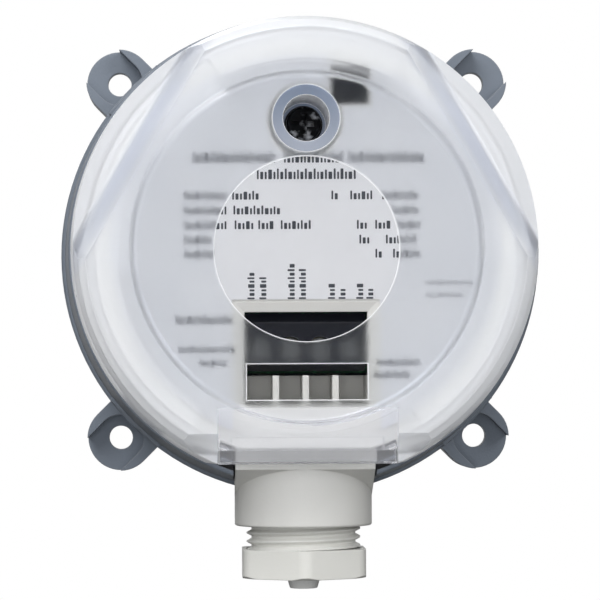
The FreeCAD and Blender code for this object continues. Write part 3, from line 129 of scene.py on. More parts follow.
def moulded_plastic(name, light, dark, grain_mm, rough, relief):
    """Spark-eroded grain, slight changes of shade, and edges that are rounded and rubbed."""
    material, tree, shader, place = new_finish(name)
    cloud = add_node(tree, "ShaderNodeTexNoise", {
        "Vector": place, "Scale": per_metre(SHADE_MM), "Detail": 3})
    shade = add_node(tree, "ShaderNodeMix", {
        "Factor": cloud.outputs[0], "A": linear(dark), "B": linear(light)}, data_type="RGBA")

    rounded = add_node(tree, "ShaderNodeBevel", {"Radius": EDGE_RADIUS}).outputs[0]
    straight = add_node(tree, "ShaderNodeNewGeometry").outputs["Normal"]
    agree = add_node(tree, "ShaderNodeVectorMath", {
        0: rounded, 1: straight}, operation="DOT_PRODUCT")
    rubbed = add_node(tree, "ShaderNodeMapRange", {
        "Value": agree.outputs["Value"], "From Min": EDGE_AGREE[0], "From Max": EDGE_AGREE[1],
        "To Min": EDGE_WEAR, "To Max": 0.0})
    worn = add_node(tree, "ShaderNodeMix", {
        "Factor": rubbed.outputs[0], "A": shade.outputs["Result"], "B": (1, 1, 1, 1)},
        data_type="RGBA")
    feed(tree, shader, "Base Color", worn.outputs["Result"])

    grain = add_node(tree, "ShaderNodeTexNoise", {
        "Vector": place, "Scale": per_metre(grain_mm), "Detail": 2})
    gloss = add_node(tree, "ShaderNodeMapRange", {
        "Value": grain.outputs[0],
        "To Min": rough - GLOSS_SPREAD, "To Max": rough + GLOSS_SPREAD})
    feed(tree, shader, "Roughness", gloss.outputs[0])
    bump = add_node(tree, "ShaderNodeBump", {
        "Height": grain.outputs[0], "Strength": relief, "Distance": grain_mm * MM * GRAIN_DEPTH,
        "Normal": rounded})
    feed(tree, shader, "Normal", bump.outputs[0])
    shader.inputs["IOR"].default_value = PLASTIC_IOR
    return material


print("a shade that changes over", SHADE_MM, "mm has a noise scale of", round(per_metre(SHADE_MM)))

# %% [markdown]
# Now each plastic on the object gets its own colours, the lighter one first, and its grain,
# roughness and relief. Small parts such as the chips are plastics too, apart from the resistors,
# whose glazed ceramic only needs a lower roughness.

# %% The plastics
FINISHES = {
    # Dark and dull, with a grain that breaks up the light along the walls
    "housing_plastic": moulded_plastic("abs_blue_grey", "#78808b", "#707883", 0.5, 0.52, 0.25),
    # Pale and satin, so it shows the shadows inside the opening
    "carrier_plastic": moulded_plastic("abs_light_grey", "#e4e4e0", "#dcdcd8", 0.6, 0.45, 0.12),
    # Close to the carrier in colour and a little smoother, with soft light along the nut's corners
    "gland_polyamide": moulded_plastic(
        "polyamide_light_grey", "#e4e4df", "#dcdcd7", 0.6, 0.42, 0.12),
    # A cool black with enough shine to show its edges
    "black_polyamide": moulded_plastic("polyamide_black", "#191c26", "#12141c", 0.4, 0.4, 0.2),
    # Warm off-white and satin
    "sensor_plastic": moulded_plastic("polyester_off_white", "#dcd8ca", "#d2cdbe", 0.5, 0.45, 0.15),
    # Charcoal, with the coarse matt skin of a moulded chip
    "chip_epoxy": moulded_plastic("epoxy_black", "#232325", "#19191b", 0.3, 0.55, 0.3),
    # Black and glazed, almost smooth
    "chip_ceramic": moulded_plastic("glazed_ceramic_black", "#1c1c20", "#131316", 0.5, 0.25, 0.05),
}
print("plastics:", ", ".join(finish.name for finish in FINISHES.values()))

# %% [markdown]
# ## Rubbers
#
# Gaskets and seals are moulded in rubber, soft and matt, with a dusty bloom that lightens them in
# patches. A plain dark colour would pass for plastic, so a cloudy noise lays the bloom on, and a
# little sheen adds its pale rim. The real grit is finer, and is drawn coarser so that it shows. The
# hoses are silicone, which lets some light through and looks milky.

# %% Rubber and silicone
BLOOM_MM = 6
GRIT_MM, GRIT_DEPTH = 0.4, 0.1 * MM
SILICONE_SPREAD = 1.0 * MM       # how far light goes inside the hoses


def rubber(name, colour, bloom, rough, sheen):
    """A matt skin with a dusty bloom in patches and a fine grit."""
    material, tree, shader, place = new_finish(name)
    dust = add_node(tree, "ShaderNodeTexNoise", {
        "Vector": place, "Scale": per_metre(BLOOM_MM), "Detail": 5})
    patches = add_node(tree, "ShaderNodeMapRange", {
        "Value": dust.outputs[0], "From Min": 0.35, "From Max": 0.75, "To Max": 0.6})
    shade = add_node(tree, "ShaderNodeMix", {
        "Factor": patches.outputs[0], "A": linear(colour), "B": linear(bloom)}, data_type="RGBA")
    feed(tree, shader, "Base Color", shade.outputs["Result"])
    grit = add_node(tree, "ShaderNodeTexNoise", {"Vector": place, "Scale": per_metre(GRIT_MM)})
    bump = add_node(tree, "ShaderNodeBump", {
        "Height": grit.outputs[0], "Strength": 0.15, "Distance": GRIT_DEPTH})
    feed(tree, shader, "Normal", bump.outputs[0])
    shader.inputs["Roughness"].default_value = rough
    shader.inputs["Sheen Weight"].default_value = sheen
    shader.inputs["Sheen Roughness"].default_value = 0.4
    return material


# Black that never quite goes dark, because of the bloom
FINISHES["black_rubber"] = rubber("rubber_black", "#1a1a1b", "#2c2c2d", 0.75, 0.1)
# Pale, flat and soft beside the gland's satin nut
FINISHES["seal_rubber"] = rubber("rubber_grey", "#e6e7e6", "#efefee", 0.6, 0.1)
# Milky, because light spreads inside it
FINISHES["hose_silicone"] = rubber("silicone_milky", "#dcd9d0", "#e9e6de", 0.5, 0.15)
silicone = FINISHES["hose_silicone"].node_tree.nodes["Principled BSDF"]
silicone.inputs["Subsurface Weight"].default_value = 0.4
silicone.inputs["Subsurface Radius"].default_value = (1.0, 0.9, 0.7)
silicone.inputs["Subsurface Scale"].default_value = SILICONE_SPREAD
print("rubbers:", ", ".join(
    FINISHES[slot].name for slot in ("black_rubber", "seal_rubber", "hose_silicone")))

# %% [markdown]
# ## Metals
#
# The small metal pieces are turned, drawn or stamped, which leaves fine marks along one direction.
# An anisotropic shader could show them, but it needs a direction at every point of a piece. A noise
# that is stretched along the tool's path and drives the roughness works on any shape. Its marks are
# drawn coarser than the real ones, so that they show. Zinc plating is dull, so it is only half
# metallic. The cover screw has a black oxide skin that is worn through to the bright steel in
# patches.

# %% A worked metal
MARK_MM, MARK_DEPTH = 0.5, 0.05 * MM
STAIN_MM = 2


def worked_metal(name, colour, stain, rough, stretch, metallic=1.0, patches=(0.2, 0.8)):
    """Marks along one direction, and a stain that sets in between two values of a soft noise."""
    material, tree, shader, place = new_finish(name)
    along = add_node(tree, "ShaderNodeMapping", {"Vector": place, "Scale": stretch})
    marks = add_node(tree, "ShaderNodeTexNoise", {
        "Vector": along.outputs[0], "Scale": per_metre(MARK_MM), "Detail": 4})
    gloss = add_node(tree, "ShaderNodeMapRange", {
        "Value": marks.outputs[0], "To Min": rough - 0.1, "To Max": rough + 0.15})
    feed(tree, shader, "Roughness", gloss.outputs[0])
    cloud = add_node(tree, "ShaderNodeTexNoise", {
        "Vector": place, "Scale": per_metre(STAIN_MM), "Detail": 3})
    stained = add_node(tree, "ShaderNodeMapRange", {
        "Value": cloud.outputs[0], "From Min": patches[0], "From Max": patches[1]})
    shade = add_node(tree, "ShaderNodeMix", {
        "Factor": stained.outputs[0], "A": linear(colour), "B": linear(stain)}, data_type="RGBA")
    feed(tree, shader, "Base Color", shade.outputs["Result"])
    bump = add_node(tree, "ShaderNodeBump", {
        "Height": marks.outputs[0], "Strength": 0.1, "Distance": MARK_DEPTH})
    feed(tree, shader, "Normal", bump.outputs[0])
    shader.inputs["Metallic"].default_value = metallic
    return material


METALS = {
    # Grey and dull, so a screw's head stays lighter than the plastic round it
    "plated_steel": worked_metal(
        "zinc_plated_steel", "#d2d4d4", "#b9bcbe", 0.45, (1, 0.2, 1), metallic=0.5),
    # Warm and bright, with marks across the folded cages
    "clamp_brass": worked_metal("nickel_plated_brass", "#c9c4b0", "#b9b29a", 0.28, (0.2, 1, 1)),
    # Bright, with the long draw marks of a can
    "can_aluminium": worked_metal("drawn_aluminium", "#d3d5d6", "#c4c7c9", 0.25, (1, 0.15, 1)),
    # Nearly black, with a few glints where the skin is gone
    "blackened_steel": worked_metal(
        "black_oxide_steel", "#1b1c1e", "#a4a6a9", 0.38, (1, 0.3, 1),
        metallic=0.9, patches=(0.5, 0.65)),
}
FINISHES.update(METALS)
print("metals:", ", ".join(finish.name for finish in METALS.values()))

# %% [markdown]
# ## Board and label stock
#
# The board is glass laminate under green solder mask: glossy, with copper tracks that show as a
# slightly lighter green. Tracks could be modelled one by one, but the carrier hides most of the
# board, and a brick pattern with thin mortar makes a fair net of them. The label is polyester film:
# satin, cool and pale, with a faint mottle.

# %% Solder mask: glossy green, with raised tracks
TRACK_MM, TRACK_DEPTH = 8, 0.05 * MM

material, tree, shader, place = new_finish("solder_mask_green")
lying = add_node(tree, "ShaderNodeMapping", {"Vector": place, "Rotation": (math.pi / 2, 0, 0)})
tracks = add_node(tree, "ShaderNodeTexBrick", {
    "Vector": lying.outputs[0], "Scale": per_metre(TRACK_MM), "Color1": linear("#12492a"),
    "Color2": linear("#164f2f"), "Mortar": linear("#2a6d43"), "Mortar Size": 0.035})
feed(tree, shader, "Base Color", tracks.outputs["Color"])
ridge = add_node(tree, "ShaderNodeBump", {
    "Height": tracks.outputs["Fac"], "Strength": 0.3, "Distance": TRACK_DEPTH})
feed(tree, shader, "Normal", ridge.outputs[0])
shader.inputs["Roughness"].default_value = 0.3
shader.inputs["Coat Weight"].default_value = 0.4
FINISHES["board_laminate"] = material
print("board:", material.name)

# %% Label film: satin and cool
MOTTLE_MM = 9

material, tree, shader, place = new_finish("polyester_film")
mottle = add_node(tree, "ShaderNodeTexNoise", {
    "Vector": place, "Scale": per_metre(MOTTLE_MM), "Detail": 4})
film = add_node(tree, "ShaderNodeMix", {
    "Factor": mottle.outputs[0], "A": linear("#dbdde1"), "B": linear("#e2e4e7")}, data_type="RGBA")
feed(tree, shader, "Base Color", film.outputs["Result"])
satin = add_node(tree, "ShaderNodeMapRange", {
    "Value": mottle.outputs[0], "To Min": 0.35, "To Max": 0.5})
feed(tree, shader, "Roughness", satin.outputs[0])
FINISHES["label_film"] = material
print("label:", material.name)

# %% [markdown]
# ## The cover
#
# The cover is one moulding of clear polycarbonate. Most of its mould is textured, so the plastic
# scatters light and blurs what is inside. The round window and the slit over the wires were
# polished, and the nose and the screw well's tube are smoother too. Separate pieces would show
# seams, so one material does all of it. For each shape it works out how far a point of the front
# lies outside: below zero the point is inside, and close to zero runs the narrow step round a
# window. There a thin white, less clear line is painted on as a highlight, where the step would
# catch the light.

# %% Shapes on the cover's front
WINDOW = (15.6 * MM, -0.2 * MM)            # radius of the round window and height of its centre
WELL = (5.7 * MM, 21.7 * MM)               # outside of the screw well's tube
BORE = (3.9 * MM, 21.7 * MM)               # inside of the well
SLIT = (10.2 * MM, 3.05 * MM, -22.5 * MM)  # half width, half height and height of its centre
NOSE = (15.1 * MM, 10 * MM, -36.8 * MM)
# Painted highlight: thin white lines along the windows' step and the well's rims
HIGHLIGHT_HALF_WIDTH = 0.075 * MM                     # half width of the white lines


def outside_circle(tree, front, radius, height):
    """How far points of the front lie outside a circle on the middle line."""
    reach = add_node(tree, "ShaderNodeVectorMath", {
        0: front, 1: (0, 0, height)}, operation="DISTANCE")
    return add_node(tree, "ShaderNodeMath", {
        0: reach.outputs["Value"], 1: radius}, operation="SUBTRACT").outputs[0]


def outside_box(tree, front, half_width, half_height, height):
    """How far points of the front lie outside a rectangle on the middle line."""
    moved = add_node(tree, "ShaderNodeVectorMath", {
        0: front, 1: (0, 0, height)}, operation="SUBTRACT")
    folded = add_node(tree, "ShaderNodeVectorMath", {0: moved.outputs[0]}, operation="ABSOLUTE")
    past = add_node(tree, "ShaderNodeVectorMath", {
        0: folded.outputs[0], 1: (half_width, 0, half_height)}, operation="SUBTRACT")
    axes = add_node(tree, "ShaderNodeSeparateXYZ", {0: past.outputs[0]})
    return add_node(tree, "ShaderNodeMath", {
        0: axes.outputs["X"], 1: axes.outputs["Z"]}, operation="MAXIMUM").outputs[0]


cover_finish, tree, shader, place = new_finish("polycarbonate_frosted_and_polished")
front = add_node(tree, "ShaderNodeVectorMath", {
    0: place, 1: (1, 0, 1)}, operation="MULTIPLY").outputs[0]
windows = add_node(tree, "ShaderNodeMath", {
    0: outside_circle(tree, front, *WINDOW), 1: outside_box(tree, front, *SLIT)},
    operation="MINIMUM").outputs[0]
tube, bore = (outside_circle(tree, front, *circle) for circle in (WELL, BORE))
nose = outside_box(tree, front, *NOSE)
polished, ring, over_gland = (
    add_node(tree, "ShaderNodeMath", {0: gap, 1: 0.0}, operation="LESS_THAN").outputs[0]
    for gap in (windows, tube, nose))
# Masks for the painted highlight lines, close to zero on each step or rim
highlight_lines = [
    add_node(tree, "ShaderNodeMath", {0: gap, 1: 0.0, 2: HIGHLIGHT_HALF_WIDTH}, operation="COMPARE").outputs[0]
    for gap in (windows, tube, bore)]
print("cover: polished within", WINDOW[0] / MM, "mm of the window's centre")

# %% [markdown]
# The crown is cut off by a slope at each side. Both are alike, so the front is folded along its
# middle line, and a point's reach along one direction tells how far it is from a slope's middle.
# Each slope is a little less clear and is painted a darker, bluish shade, which stands for light
# lost along the wall. This painted shade fades in softly, because the slope's edges are rounded.

# %% The two slopes
CHORDS = (31.2 * MM, 34.4 * MM)            # from the axis to the top and the foot of a slope
CHORD_WAY = (math.cos(math.pi / 6), 0, math.sin(math.pi / 6))
SLOPE_FADE = (0.5 * MM, 2.2 * MM)          # from a slope's middle: full, gone

axes = add_node(tree, "ShaderNodeSeparateXYZ", {0: front})
across = add_node(tree, "ShaderNodeMath", {0: axes.outputs["X"]}, operation="ABSOLUTE")
folded = add_node(tree, "ShaderNodeCombineXYZ", {
    "X": across.outputs[0], "Z": axes.outputs["Z"]})
reach = add_node(tree, "ShaderNodeVectorMath", {
    0: folded.outputs[0], 1: CHORD_WAY}, operation="DOT_PRODUCT")
past_middle = add_node(tree, "ShaderNodeMath", {
    0: reach.outputs["Value"], 1: sum(CHORDS) / 2}, operation="SUBTRACT")
off_middle = add_node(tree, "ShaderNodeMath", {0: past_middle.outputs[0]}, operation="ABSOLUTE")
slope_and_painted_shade = add_node(tree, "ShaderNodeMapRange", {
    "Value": off_middle.outputs[0], "From Min": SLOPE_FADE[0], "From Max": SLOPE_FADE[1],
    "To Min": 1.0, "To Max": 0.0}).outputs[0]
print("slopes:", round((CHORDS[1] - CHORDS[0]) / MM, 1), "mm wide")

# %% [markdown]
# The frosted plastic is the ground on which the other places are laid. A mould's texture is far
# finer than this picture shows, so roughness stands for it, and it changes only in broad clouds: a
# fine noise in the roughness of a clear plastic shows as dots. Towards the rim light has a longer
# way through the wall, so the plastic turns milky there. Then each place mixes in its own
# roughness, clearness and tint. The slopes' and the tube's darker tints are painted shade, and the
# thin lines' white tint is a painted highlight.

# %% Frosted ground and smoother places
FROST_MM = 9                               # size of the broad clouds
FROSTED = (0.26, 0.31)                     # range of roughness
MILKY_RADII = (29 * MM, 37 * MM)           # clear inside the first, most milky past the second
MILKY = 0.5                                # clearness left at the rim
COVER_IOR = 1.58

cloud = add_node(tree, "ShaderNodeTexNoise", {
    "Vector": place, "Scale": per_metre(FROST_MM), "Detail": 3}).outputs[0]
rough = add_node(tree, "ShaderNodeMapRange", {
    "Value": cloud, "To Min": FROSTED[0], "To Max": FROSTED[1]}).outputs[0]
from_axis = add_node(tree, "ShaderNodeVectorMath", {0: front}, operation="LENGTH")
clear = add_node(tree, "ShaderNodeMapRange", {
    "Value": from_axis.outputs["Value"], "From Min": MILKY_RADII[0], "From Max": MILKY_RADII[1],
    "To Min": 1.0, "To Max": MILKY}).outputs[0]
tint = add_node(tree, "ShaderNodeMix", {
    "Factor": cloud, "A": linear("#eceef1"), "B": linear("#f3f4f6")},
    data_type="RGBA").outputs["Result"]
# Painted shade on the well's tube: darker and bluer at its top, paler at its foot
down_tube = add_node(tree, "ShaderNodeMapRange", {
    "Value": axes.outputs["Z"], "From Min": WELL[1] + WELL[0], "From Max": WELL[1] - WELL[0]})
tube_painted_shade = add_node(tree, "ShaderNodeMix", {
    "Factor": down_tube.outputs[0], "A": linear("#8d9bb3"), "B": linear("#c3cad8")},
    data_type="RGBA").outputs["Result"]

PLACES = [                                 # where, roughness, clearness, tint
    # the slope's darker bluish tint is painted shade
    (slope_and_painted_shade, 0.28, 0.85, linear("#d9dde7")),
    (over_gland, 0.16, 0.88, linear("#f2f3f7")),
    # the tube's tint is painted shade, darker at the top
    (ring, 0.12, 0.45, tube_painted_shade),
    (polished, 0.02, 1.0, linear("#fcfcfd")),
# painted highlight: a thin white, less clear line on each step or rim
] + [(line, 0.3, 0.45, linear("#f8f9fb")) for line in highlight_lines]
for where, gloss, clarity, colour in PLACES:
    rough = add_node(tree, "ShaderNodeMix", {
        "Factor": where, "A": rough, "B": gloss}).outputs["Result"]
    clear = add_node(tree, "ShaderNodeMix", {
        "Factor": where, "A": clear, "B": clarity}).outputs["Result"]
    tint = add_node(tree, "ShaderNodeMix", {
        "Factor": where, "A": tint, "B": colour}, data_type="RGBA").outputs["Result"]
feed(tree, shader, "Roughness", rough)
feed(tree, shader, "Transmission Weight", clear)
feed(tree, shader, "Base Color", tint)
shader.inputs["IOR"].default_value = COVER_IOR
shader.inputs["Specular Tint"].default_value = linear("#d6dff0")
print("cover:", len(PLACES), "places on the frosted ground")

# %% [markdown]
# Lamps can't shine through refracting plastic when the renderer samples them directly. Mixing in a
# transparent shader for shadow rays lets most of their light reach the label.

# %% Let the lamps through
shadow_ray = add_node(tree, "ShaderNodeLightPath").outputs["Is Shadow Ray"]
through = add_node(tree, "ShaderNodeBsdfTransparent", {"Color": linear("#dcdcdd")})
surface = add_node(tree, "ShaderNodeMixShader", {
    0: shadow_ray, 1: shader.outputs[0], 2: through.outputs[0]})
tree.links.new(surface.outputs[0], tree.nodes["Material Output"].inputs["Surface"])
FINISHES["cover_polycarbonate"] = cover_finish
print("cover:", cover_finish.name, "with", len(tree.nodes), "nodes")

# %% [markdown]
# ## Dress the CAD nodes
#
# Each CAD node names a material slot in the record, so a loop gives every node its finish.

# %% Give every node its finish
for row in frame["record"]["subparts"]:
    piece = nodes[row["node"]]
    piece.data.materials.clear()
    piece.data.materials.append(FINISHES[row["material_slot"]])

# %% [markdown]
# ## The gland's thread
#
# The nut runs on a coarse moulded thread. Rings would be simpler, but they wouldn't climb as a
# thread does. A small profile that is spun round the gland's axis, and moved down a little at each
# step, draws the ridge as a lathe would cut it.

# %% Spin the thread
GLAND_DEPTH = -29 * MM                     # the gland's axis, in front of the wall
THREAD_TOP, THREAD_END = -47.4 * MM, -53.4 * MM
PITCH = 1.5 * MM
ROOT, CREST = 9.0 * MM, 9.95 * MM          # radii
ROOT_HALF, CREST_HALF = 0.62 * MM, 0.12 * MM
STEPS_A_TURN = 72


def new_object(name, mesh_maker, material):
    """An object whose mesh a function makes in a bmesh."""
    mesh = bpy.data.meshes.new(name)
    shape = bmesh.new()
    mesh_maker(shape)
    shape.to_mesh(mesh)
    shape.free()
    thing = bpy.data.objects.new(name, mesh)
    bpy.context.scene.collection.objects.link(thing)
    thing.data.materials.append(material)
    return thing


def new_piece(name, mesh_maker, material, body):
    """A new object of the part, which rides on a CAD body."""
    piece = new_object(name, mesh_maker, material)
    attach(piece, body)
    return piece


def spin_thread(shape):
    """The ridge, spun down from its profile at the top."""
    corners = [(ROOT, ROOT_HALF), (CREST, CREST_HALF), (CREST, -CREST_HALF), (ROOT, -ROOT_HALF)]
    profile = [shape.verts.new((r, GLAND_DEPTH, THREAD_TOP - ROOT_HALF + h)) for r, h in corners]
    start = shape.faces.new(profile)
    turns = (THREAD_TOP - THREAD_END - 2 * ROOT_HALF) / PITCH
    bmesh.ops.spin(
        shape, geom=[start] + list(start.edges) + profile, cent=(0, GLAND_DEPTH, 0),
        axis=(0, 0, -1), dvec=(0, 0, -PITCH / STEPS_A_TURN), angle=math.tau * turns,
        steps=round(turns * STEPS_A_TURN), use_duplicate=False)
    bmesh.ops.recalc_face_normals(shape, faces=shape.faces)


thread = new_piece(
    "gland_thread", spin_thread, FINISHES["carrier_plastic"], "housing")
print("thread:", len(thread.data.polygons), "faces")

# %% [markdown]
# ## The label's print
#
# Lines of print are rows of plain strokes here, of several widths and heights, set in lines and
# columns as on a rating label. A picture on the film would do it too, but it would need a file and
# unwrapping, so each stroke is a thin plate of ink on the film. Behind the frosted plastic they
# blur into soft grey bands, as small print does.

# %% Ink: dark grey and satin, a little uneven
INK_WEAR_MM = 1.2

material, tree, shader, place = new_finish("printing_ink")
wear = add_node(tree, "ShaderNodeTexNoise", {
    "Vector": place, "Scale": per_metre(INK_WEAR_MM), "Detail": 3})
ink = add_node(tree, "ShaderNodeMix", {
    "Factor": wear.outputs[0], "A": linear("#3b3f46"), "B": linear("#4a4e55")}, data_type="RGBA")
feed(tree, shader, "Base Color", ink.outputs["Result"])
shader.inputs["Roughness"].default_value = 0.4
printing_ink = material
print("ink:", printing_ink.name)

# %% Lines and columns
ROWS = [                                  # mm: height of the line, height of its strokes, words
    (15.6, 2.0, [(-19, -4.5), (-3.6, 6.4), (7.3, 20.5)]),
    (12.7, 1.8, [(-8.2, 8.8)]),
    (9.1, 1.5, [(-20.5, -13.2), (-12.4, -7.8), (4.4, 5.6), (7.6, 11.6), (13, 19.5)]),
    (6.6, 1.5, [(-20.5, -13.0), (-12.2, -3.8), (14.6, 19.5)]),
    (4.1, 1.5, [(-20.5, -12.8), (-12.0, -8.8), (-8.0, -5.0), (-4.2, 1.0),
                (8.7, 11.0), (11.8, 14.6), (15.6, 19.5)]),
    (1.6, 1.5, [(-20.5, -15.5), (9.1, 11.2), (13.6, 19.5)]),
    (-0.8, 1.5, [(-20.5, -15.0), (11.8, 13.0), (14.8, 19.5)]),
    (-5.8, 0.6, [(20.5, 29.5)]),
    (-7.9, 0.6, [(20.5, 27.0)]),
    (-11.9, 1.6, [(-22.0, -12.2)]),
    (-16.9, 1.2, [(-21.5, -11.8)]),
    (-19.2, 1.2, [(-18.0, -13.0), (12.0, 19.5)]),
    (-21.3, 1.2, [(11.5, 18.0)]),
]
COLUMN_FOOT = -8.5
COLUMNS = [                                # mm: place across, head
    (-9.3, -3.6), (-7.3, -4.2), (-2.5, -2.4), (-0.6, -2.6),
    (4.3, -5.6), (6.1, -6.8), (9.1, -5.6), (10.8, -6.8),
]
COLUMN_WIDTH = 1.2
print("print:", sum(len(words) for *_, words in ROWS), "words and", len(COLUMNS), "columns")

# %% [markdown]
# A word is filled with strokes from left to right, taking widths and heights in turn. A column is a
# word that stands on end. A cube for each stroke is squeezed to its size, and then one bevel rounds
# the corners of all of them.

# %% Lay the strokes
LABEL_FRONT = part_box("label")[0].y
INK_THICKNESS = 0.02 * MM
INK_CORNER = 0.1 * MM
WIDTHS, GAP = (0.3, 0.5, 0.34, 0.62, 0.34), 0.26    # mm
SHARES = (1.0, 0.7, 0.7, 0.9, 0.7, 1.0, 0.7)        # of the line's height


def strokes(start, end, base, high):
    """Short strokes along a line of print: each stroke's start, end, foot and head."""
    number = 0
    while start + WIDTHS[number % len(WIDTHS)] < end:
        width = WIDTHS[number % len(WIDTHS)]
        yield start, start + width, base, base + high * SHARES[number % len(SHARES)]
        start += width + GAP
        number += 1


def lay_strokes(shape):
    """A thin plate for every stroke, with rounded corners."""
    marks = [stroke for up, high, words in ROWS for left, right in words
             for stroke in strokes(left, right, up - high / 2, high)]
    marks += [(-head, -foot, start, end) for at, top in COLUMNS for start, end, foot, head
              in strokes(COLUMN_FOOT, top, -at - COLUMN_WIDTH / 2, COLUMN_WIDTH)]
    for left, right, low, high in marks:
        size = Matrix.Diagonal(((right - left) * MM, INK_THICKNESS, (high - low) * MM, 1))
        middle = Matrix.Translation((
            (left + right) / 2 * MM, LABEL_FRONT - INK_THICKNESS / 2, (low + high) / 2 * MM))
        bmesh.ops.create_cube(shape, size=1, matrix=middle @ size)
    corners = [edge for edge in shape.edges
               if abs(edge.verts[0].co.y - edge.verts[1].co.y) > INK_THICKNESS / 2]
    bmesh.ops.bevel(shape, geom=corners, offset=INK_CORNER, segments=2, profile=0.5,
                    affect="EDGES", material=-1)


label_print = new_piece("label_print", lay_strokes, printing_ink, "housing")
print("print:", len(label_print.data.polygons), "faces")

# %% [markdown]
# ## Studio
#
# A pale floor lies well below the part, which hangs by its ears. The floor is pale to the camera
# and through the cover. To other rays it is dark, so that it doesn't light the part from below.

# %% Floor
FLOOR_DROP = -160 * MM
FLOOR_RADIUS = 0.6
FLOOR_MIRRORED = 0.15                      # how pale the floor is in reflections
PAPER_MM = 2                               # size of the paper's faint clouds


def lay_floor(shape):
    """A round sheet of paper."""
    bmesh.ops.create_circle(shape, cap_ends=True, radius=FLOOR_RADIUS, segments=96,
                            matrix=Matrix.Translation((0, 0, FLOOR_DROP)))


studio_paper, tree, shader, place = new_finish("studio_paper")
cloud = add_node(tree, "ShaderNodeTexNoise", {
    "Vector": place, "Scale": per_metre(PAPER_MM), "Detail": 2})
tone = add_node(tree, "ShaderNodeMix", {
    "Factor": cloud.outputs[0], "A": linear("#e9e9e8"), "B": linear("#efefee")}, data_type="RGBA")
rays = add_node(tree, "ShaderNodeLightPath").outputs
faint = add_node(tree, "ShaderNodeMath", {
    0: rays["Is Glossy Ray"], 1: FLOOR_MIRRORED}, operation="MULTIPLY")
direct = add_node(tree, "ShaderNodeMath", {
    0: rays["Is Camera Ray"], 1: rays["Is Transmission Ray"]}, operation="MAXIMUM")
pale = add_node(tree, "ShaderNodeMath", {
    0: direct.outputs[0], 1: faint.outputs[0]}, operation="MAXIMUM")
shown = add_node(tree, "ShaderNodeMix", {
    "Factor": pale.outputs[0], "A": linear("#484848"), "B": tone.outputs["Result"]},
    data_type="RGBA")
feed(tree, shader, "Base Color", shown.outputs["Result"])
shader.inputs["Roughness"].default_value = 0.8
floor = new_object("floor", lay_floor, studio_paper)
print("floor:", round(-FLOOR_DROP / MM), "mm below the middle of the cover")

# %% [markdown]
# The world is plain white to the camera, and to mirrored rays and rays through the cover that go
# straight back. As a light it is a dim room, paler overhead, and darker behind the camera so that
# the cover's front has no haze.

# %% World
BACK = (0.85, 0.95)                        # how straight back a ray goes: not white yet, white
ROOM_BOTTOM, ROOM_TOP = 0.05, 0.36         # strength of the room's light
ROOM_RISE = -0.6                           # below this height of a ray the room is at its darkest
CAMERA_SIDE = (-0.9, -0.6)                 # towards the camera: darkest, as bright as the rest
CAMERA_SIDE_SHARE = 0.15

world = bpy.data.worlds.new("studio")
bpy.context.scene.world = world
world.use_nodes = True
tree = world.node_tree
tree.nodes.clear()
rays = add_node(tree, "ShaderNodeLightPath").outputs
ray_way = add_node(tree, "ShaderNodeTexCoord").outputs["Generated"]
way = add_node(tree, "ShaderNodeSeparateXYZ", {0: ray_way}).outputs
backwards = add_node(tree, "ShaderNodeMapRange", {
    "Value": way["Y"], "From Min": BACK[0], "From Max": BACK[1]})
mirrored = add_node(tree, "ShaderNodeMath", {
    0: rays["Is Glossy Ray"], 1: rays["Is Transmission Ray"]}, operation="MAXIMUM")
glimpsed = add_node(tree, "ShaderNodeMath", {
    0: backwards.outputs[0], 1: mirrored.outputs[0]}, operation="MULTIPLY")
seen = add_node(tree, "ShaderNodeMath", {
    0: glimpsed.outputs[0], 1: rays["Is Camera Ray"]}, operation="MAXIMUM")
overhead = add_node(tree, "ShaderNodeMapRange", {
    "Value": way["Z"], "From Min": ROOM_RISE, "To Min": ROOM_BOTTOM, "To Max": ROOM_TOP})
dark_side = add_node(tree, "ShaderNodeMapRange", {
    "Value": way["Y"], "From Min": CAMERA_SIDE[0], "From Max": CAMERA_SIDE[1],
    "To Min": CAMERA_SIDE_SHARE})
room = add_node(tree, "ShaderNodeMath", {
    0: overhead.outputs[0], 1: dark_side.outputs[0]}, operation="MULTIPLY")
level = add_node(tree, "ShaderNodeMix", {
    "Factor": seen.outputs[0], "A": room.outputs[0], "B": 1.0})
sky = add_node(tree, "ShaderNodeBackground", {
    "Color": (1, 1, 1, 1), "Strength": level.outputs["Result"]})
add_node(tree, "ShaderNodeOutputWorld", {"Surface": sky.outputs[0]})
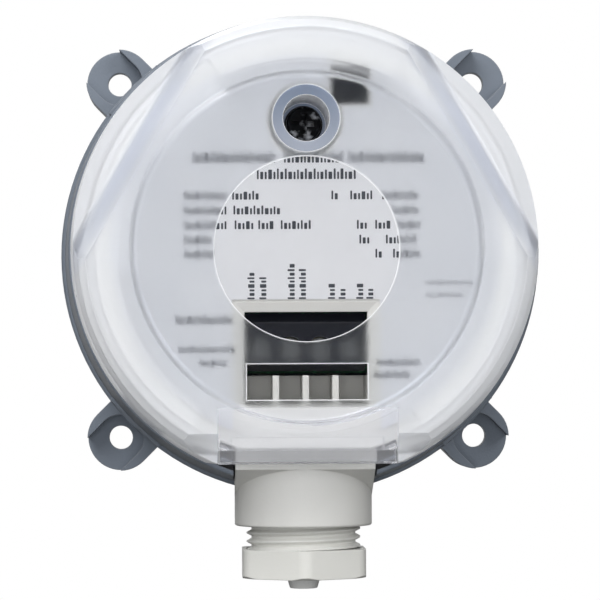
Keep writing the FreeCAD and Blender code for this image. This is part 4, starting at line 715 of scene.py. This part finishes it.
print("world: room light from", ROOM_BOTTOM, "to", ROOM_TOP)

# %% [markdown]
# A large soft box above, a little to the left, models the shapes, and weak ones at the right and
# behind lift the edges. A box in front fills the deep places. It is hidden from mirroring rays, so
# it leaves no glare on the cover. None shows through the cover, because the light that passes it is
# already counted by the shadow rays.

# %% Lamps
MIDDLE = (-0.1 * MM, -21 * MM, -7.9 * MM)  # what lamps and camera look at


def hang_lamp(name, place, size, watts, mirrored=True):
    """A soft box that faces the part."""
    lamp = bpy.data.lights.new(name, "AREA")
    lamp.size = size
    lamp.energy = watts
    holder = bpy.data.objects.new(name, lamp)
    holder.location = place
    holder.rotation_euler = (Vector(MIDDLE) - Vector(place)).to_track_quat("-Z", "Y").to_euler()
    holder.visible_transmission = False
    holder.visible_glossy = mirrored
    bpy.context.scene.collection.objects.link(holder)
    print("lamp:", name, watts, "W")


hang_lamp("key_box", (-0.35, -0.65, 0.68), 0.6, 7.0)
hang_lamp("right_box", (0.55, -0.75, 0.45), 0.4, 2.4)
hang_lamp("back_box", (-0.3, 0.75, 0.75), 0.6, 3.0)
hang_lamp("front_box", (-0.05, -1.0, -0.03), 0.5, 4.6, mirrored=False)

# %% [markdown]
# The camera stands about half a metre away with a long lens, as for a catalogue picture, a little
# to the left of the part and below its middle.

# %% Camera
CAMERA_PLACE = (-18.1 * MM, -540 * MM, -22.9 * MM)
CAMERA_ROLL = math.radians(-0.3)
LENS_MM = 175

camera = bpy.data.objects.new("camera", bpy.data.cameras.new("camera"))
camera.location = CAMERA_PLACE
camera.rotation_euler = (Vector(MIDDLE) - camera.location).to_track_quat("-Z", "Y").to_euler()
camera.rotation_euler.rotate_axis("Z", CAMERA_ROLL)
camera.data.sensor_fit = "HORIZONTAL"
camera.data.lens = LENS_MM
camera.data.clip_start = 0.01
bpy.context.scene.collection.objects.link(camera)
bpy.context.scene.camera = camera
bpy.context.scene.view_settings.view_transform = "Standard"
print("camera:", round((camera.location - Vector(MIDDLE)).length / MM), "mm away")
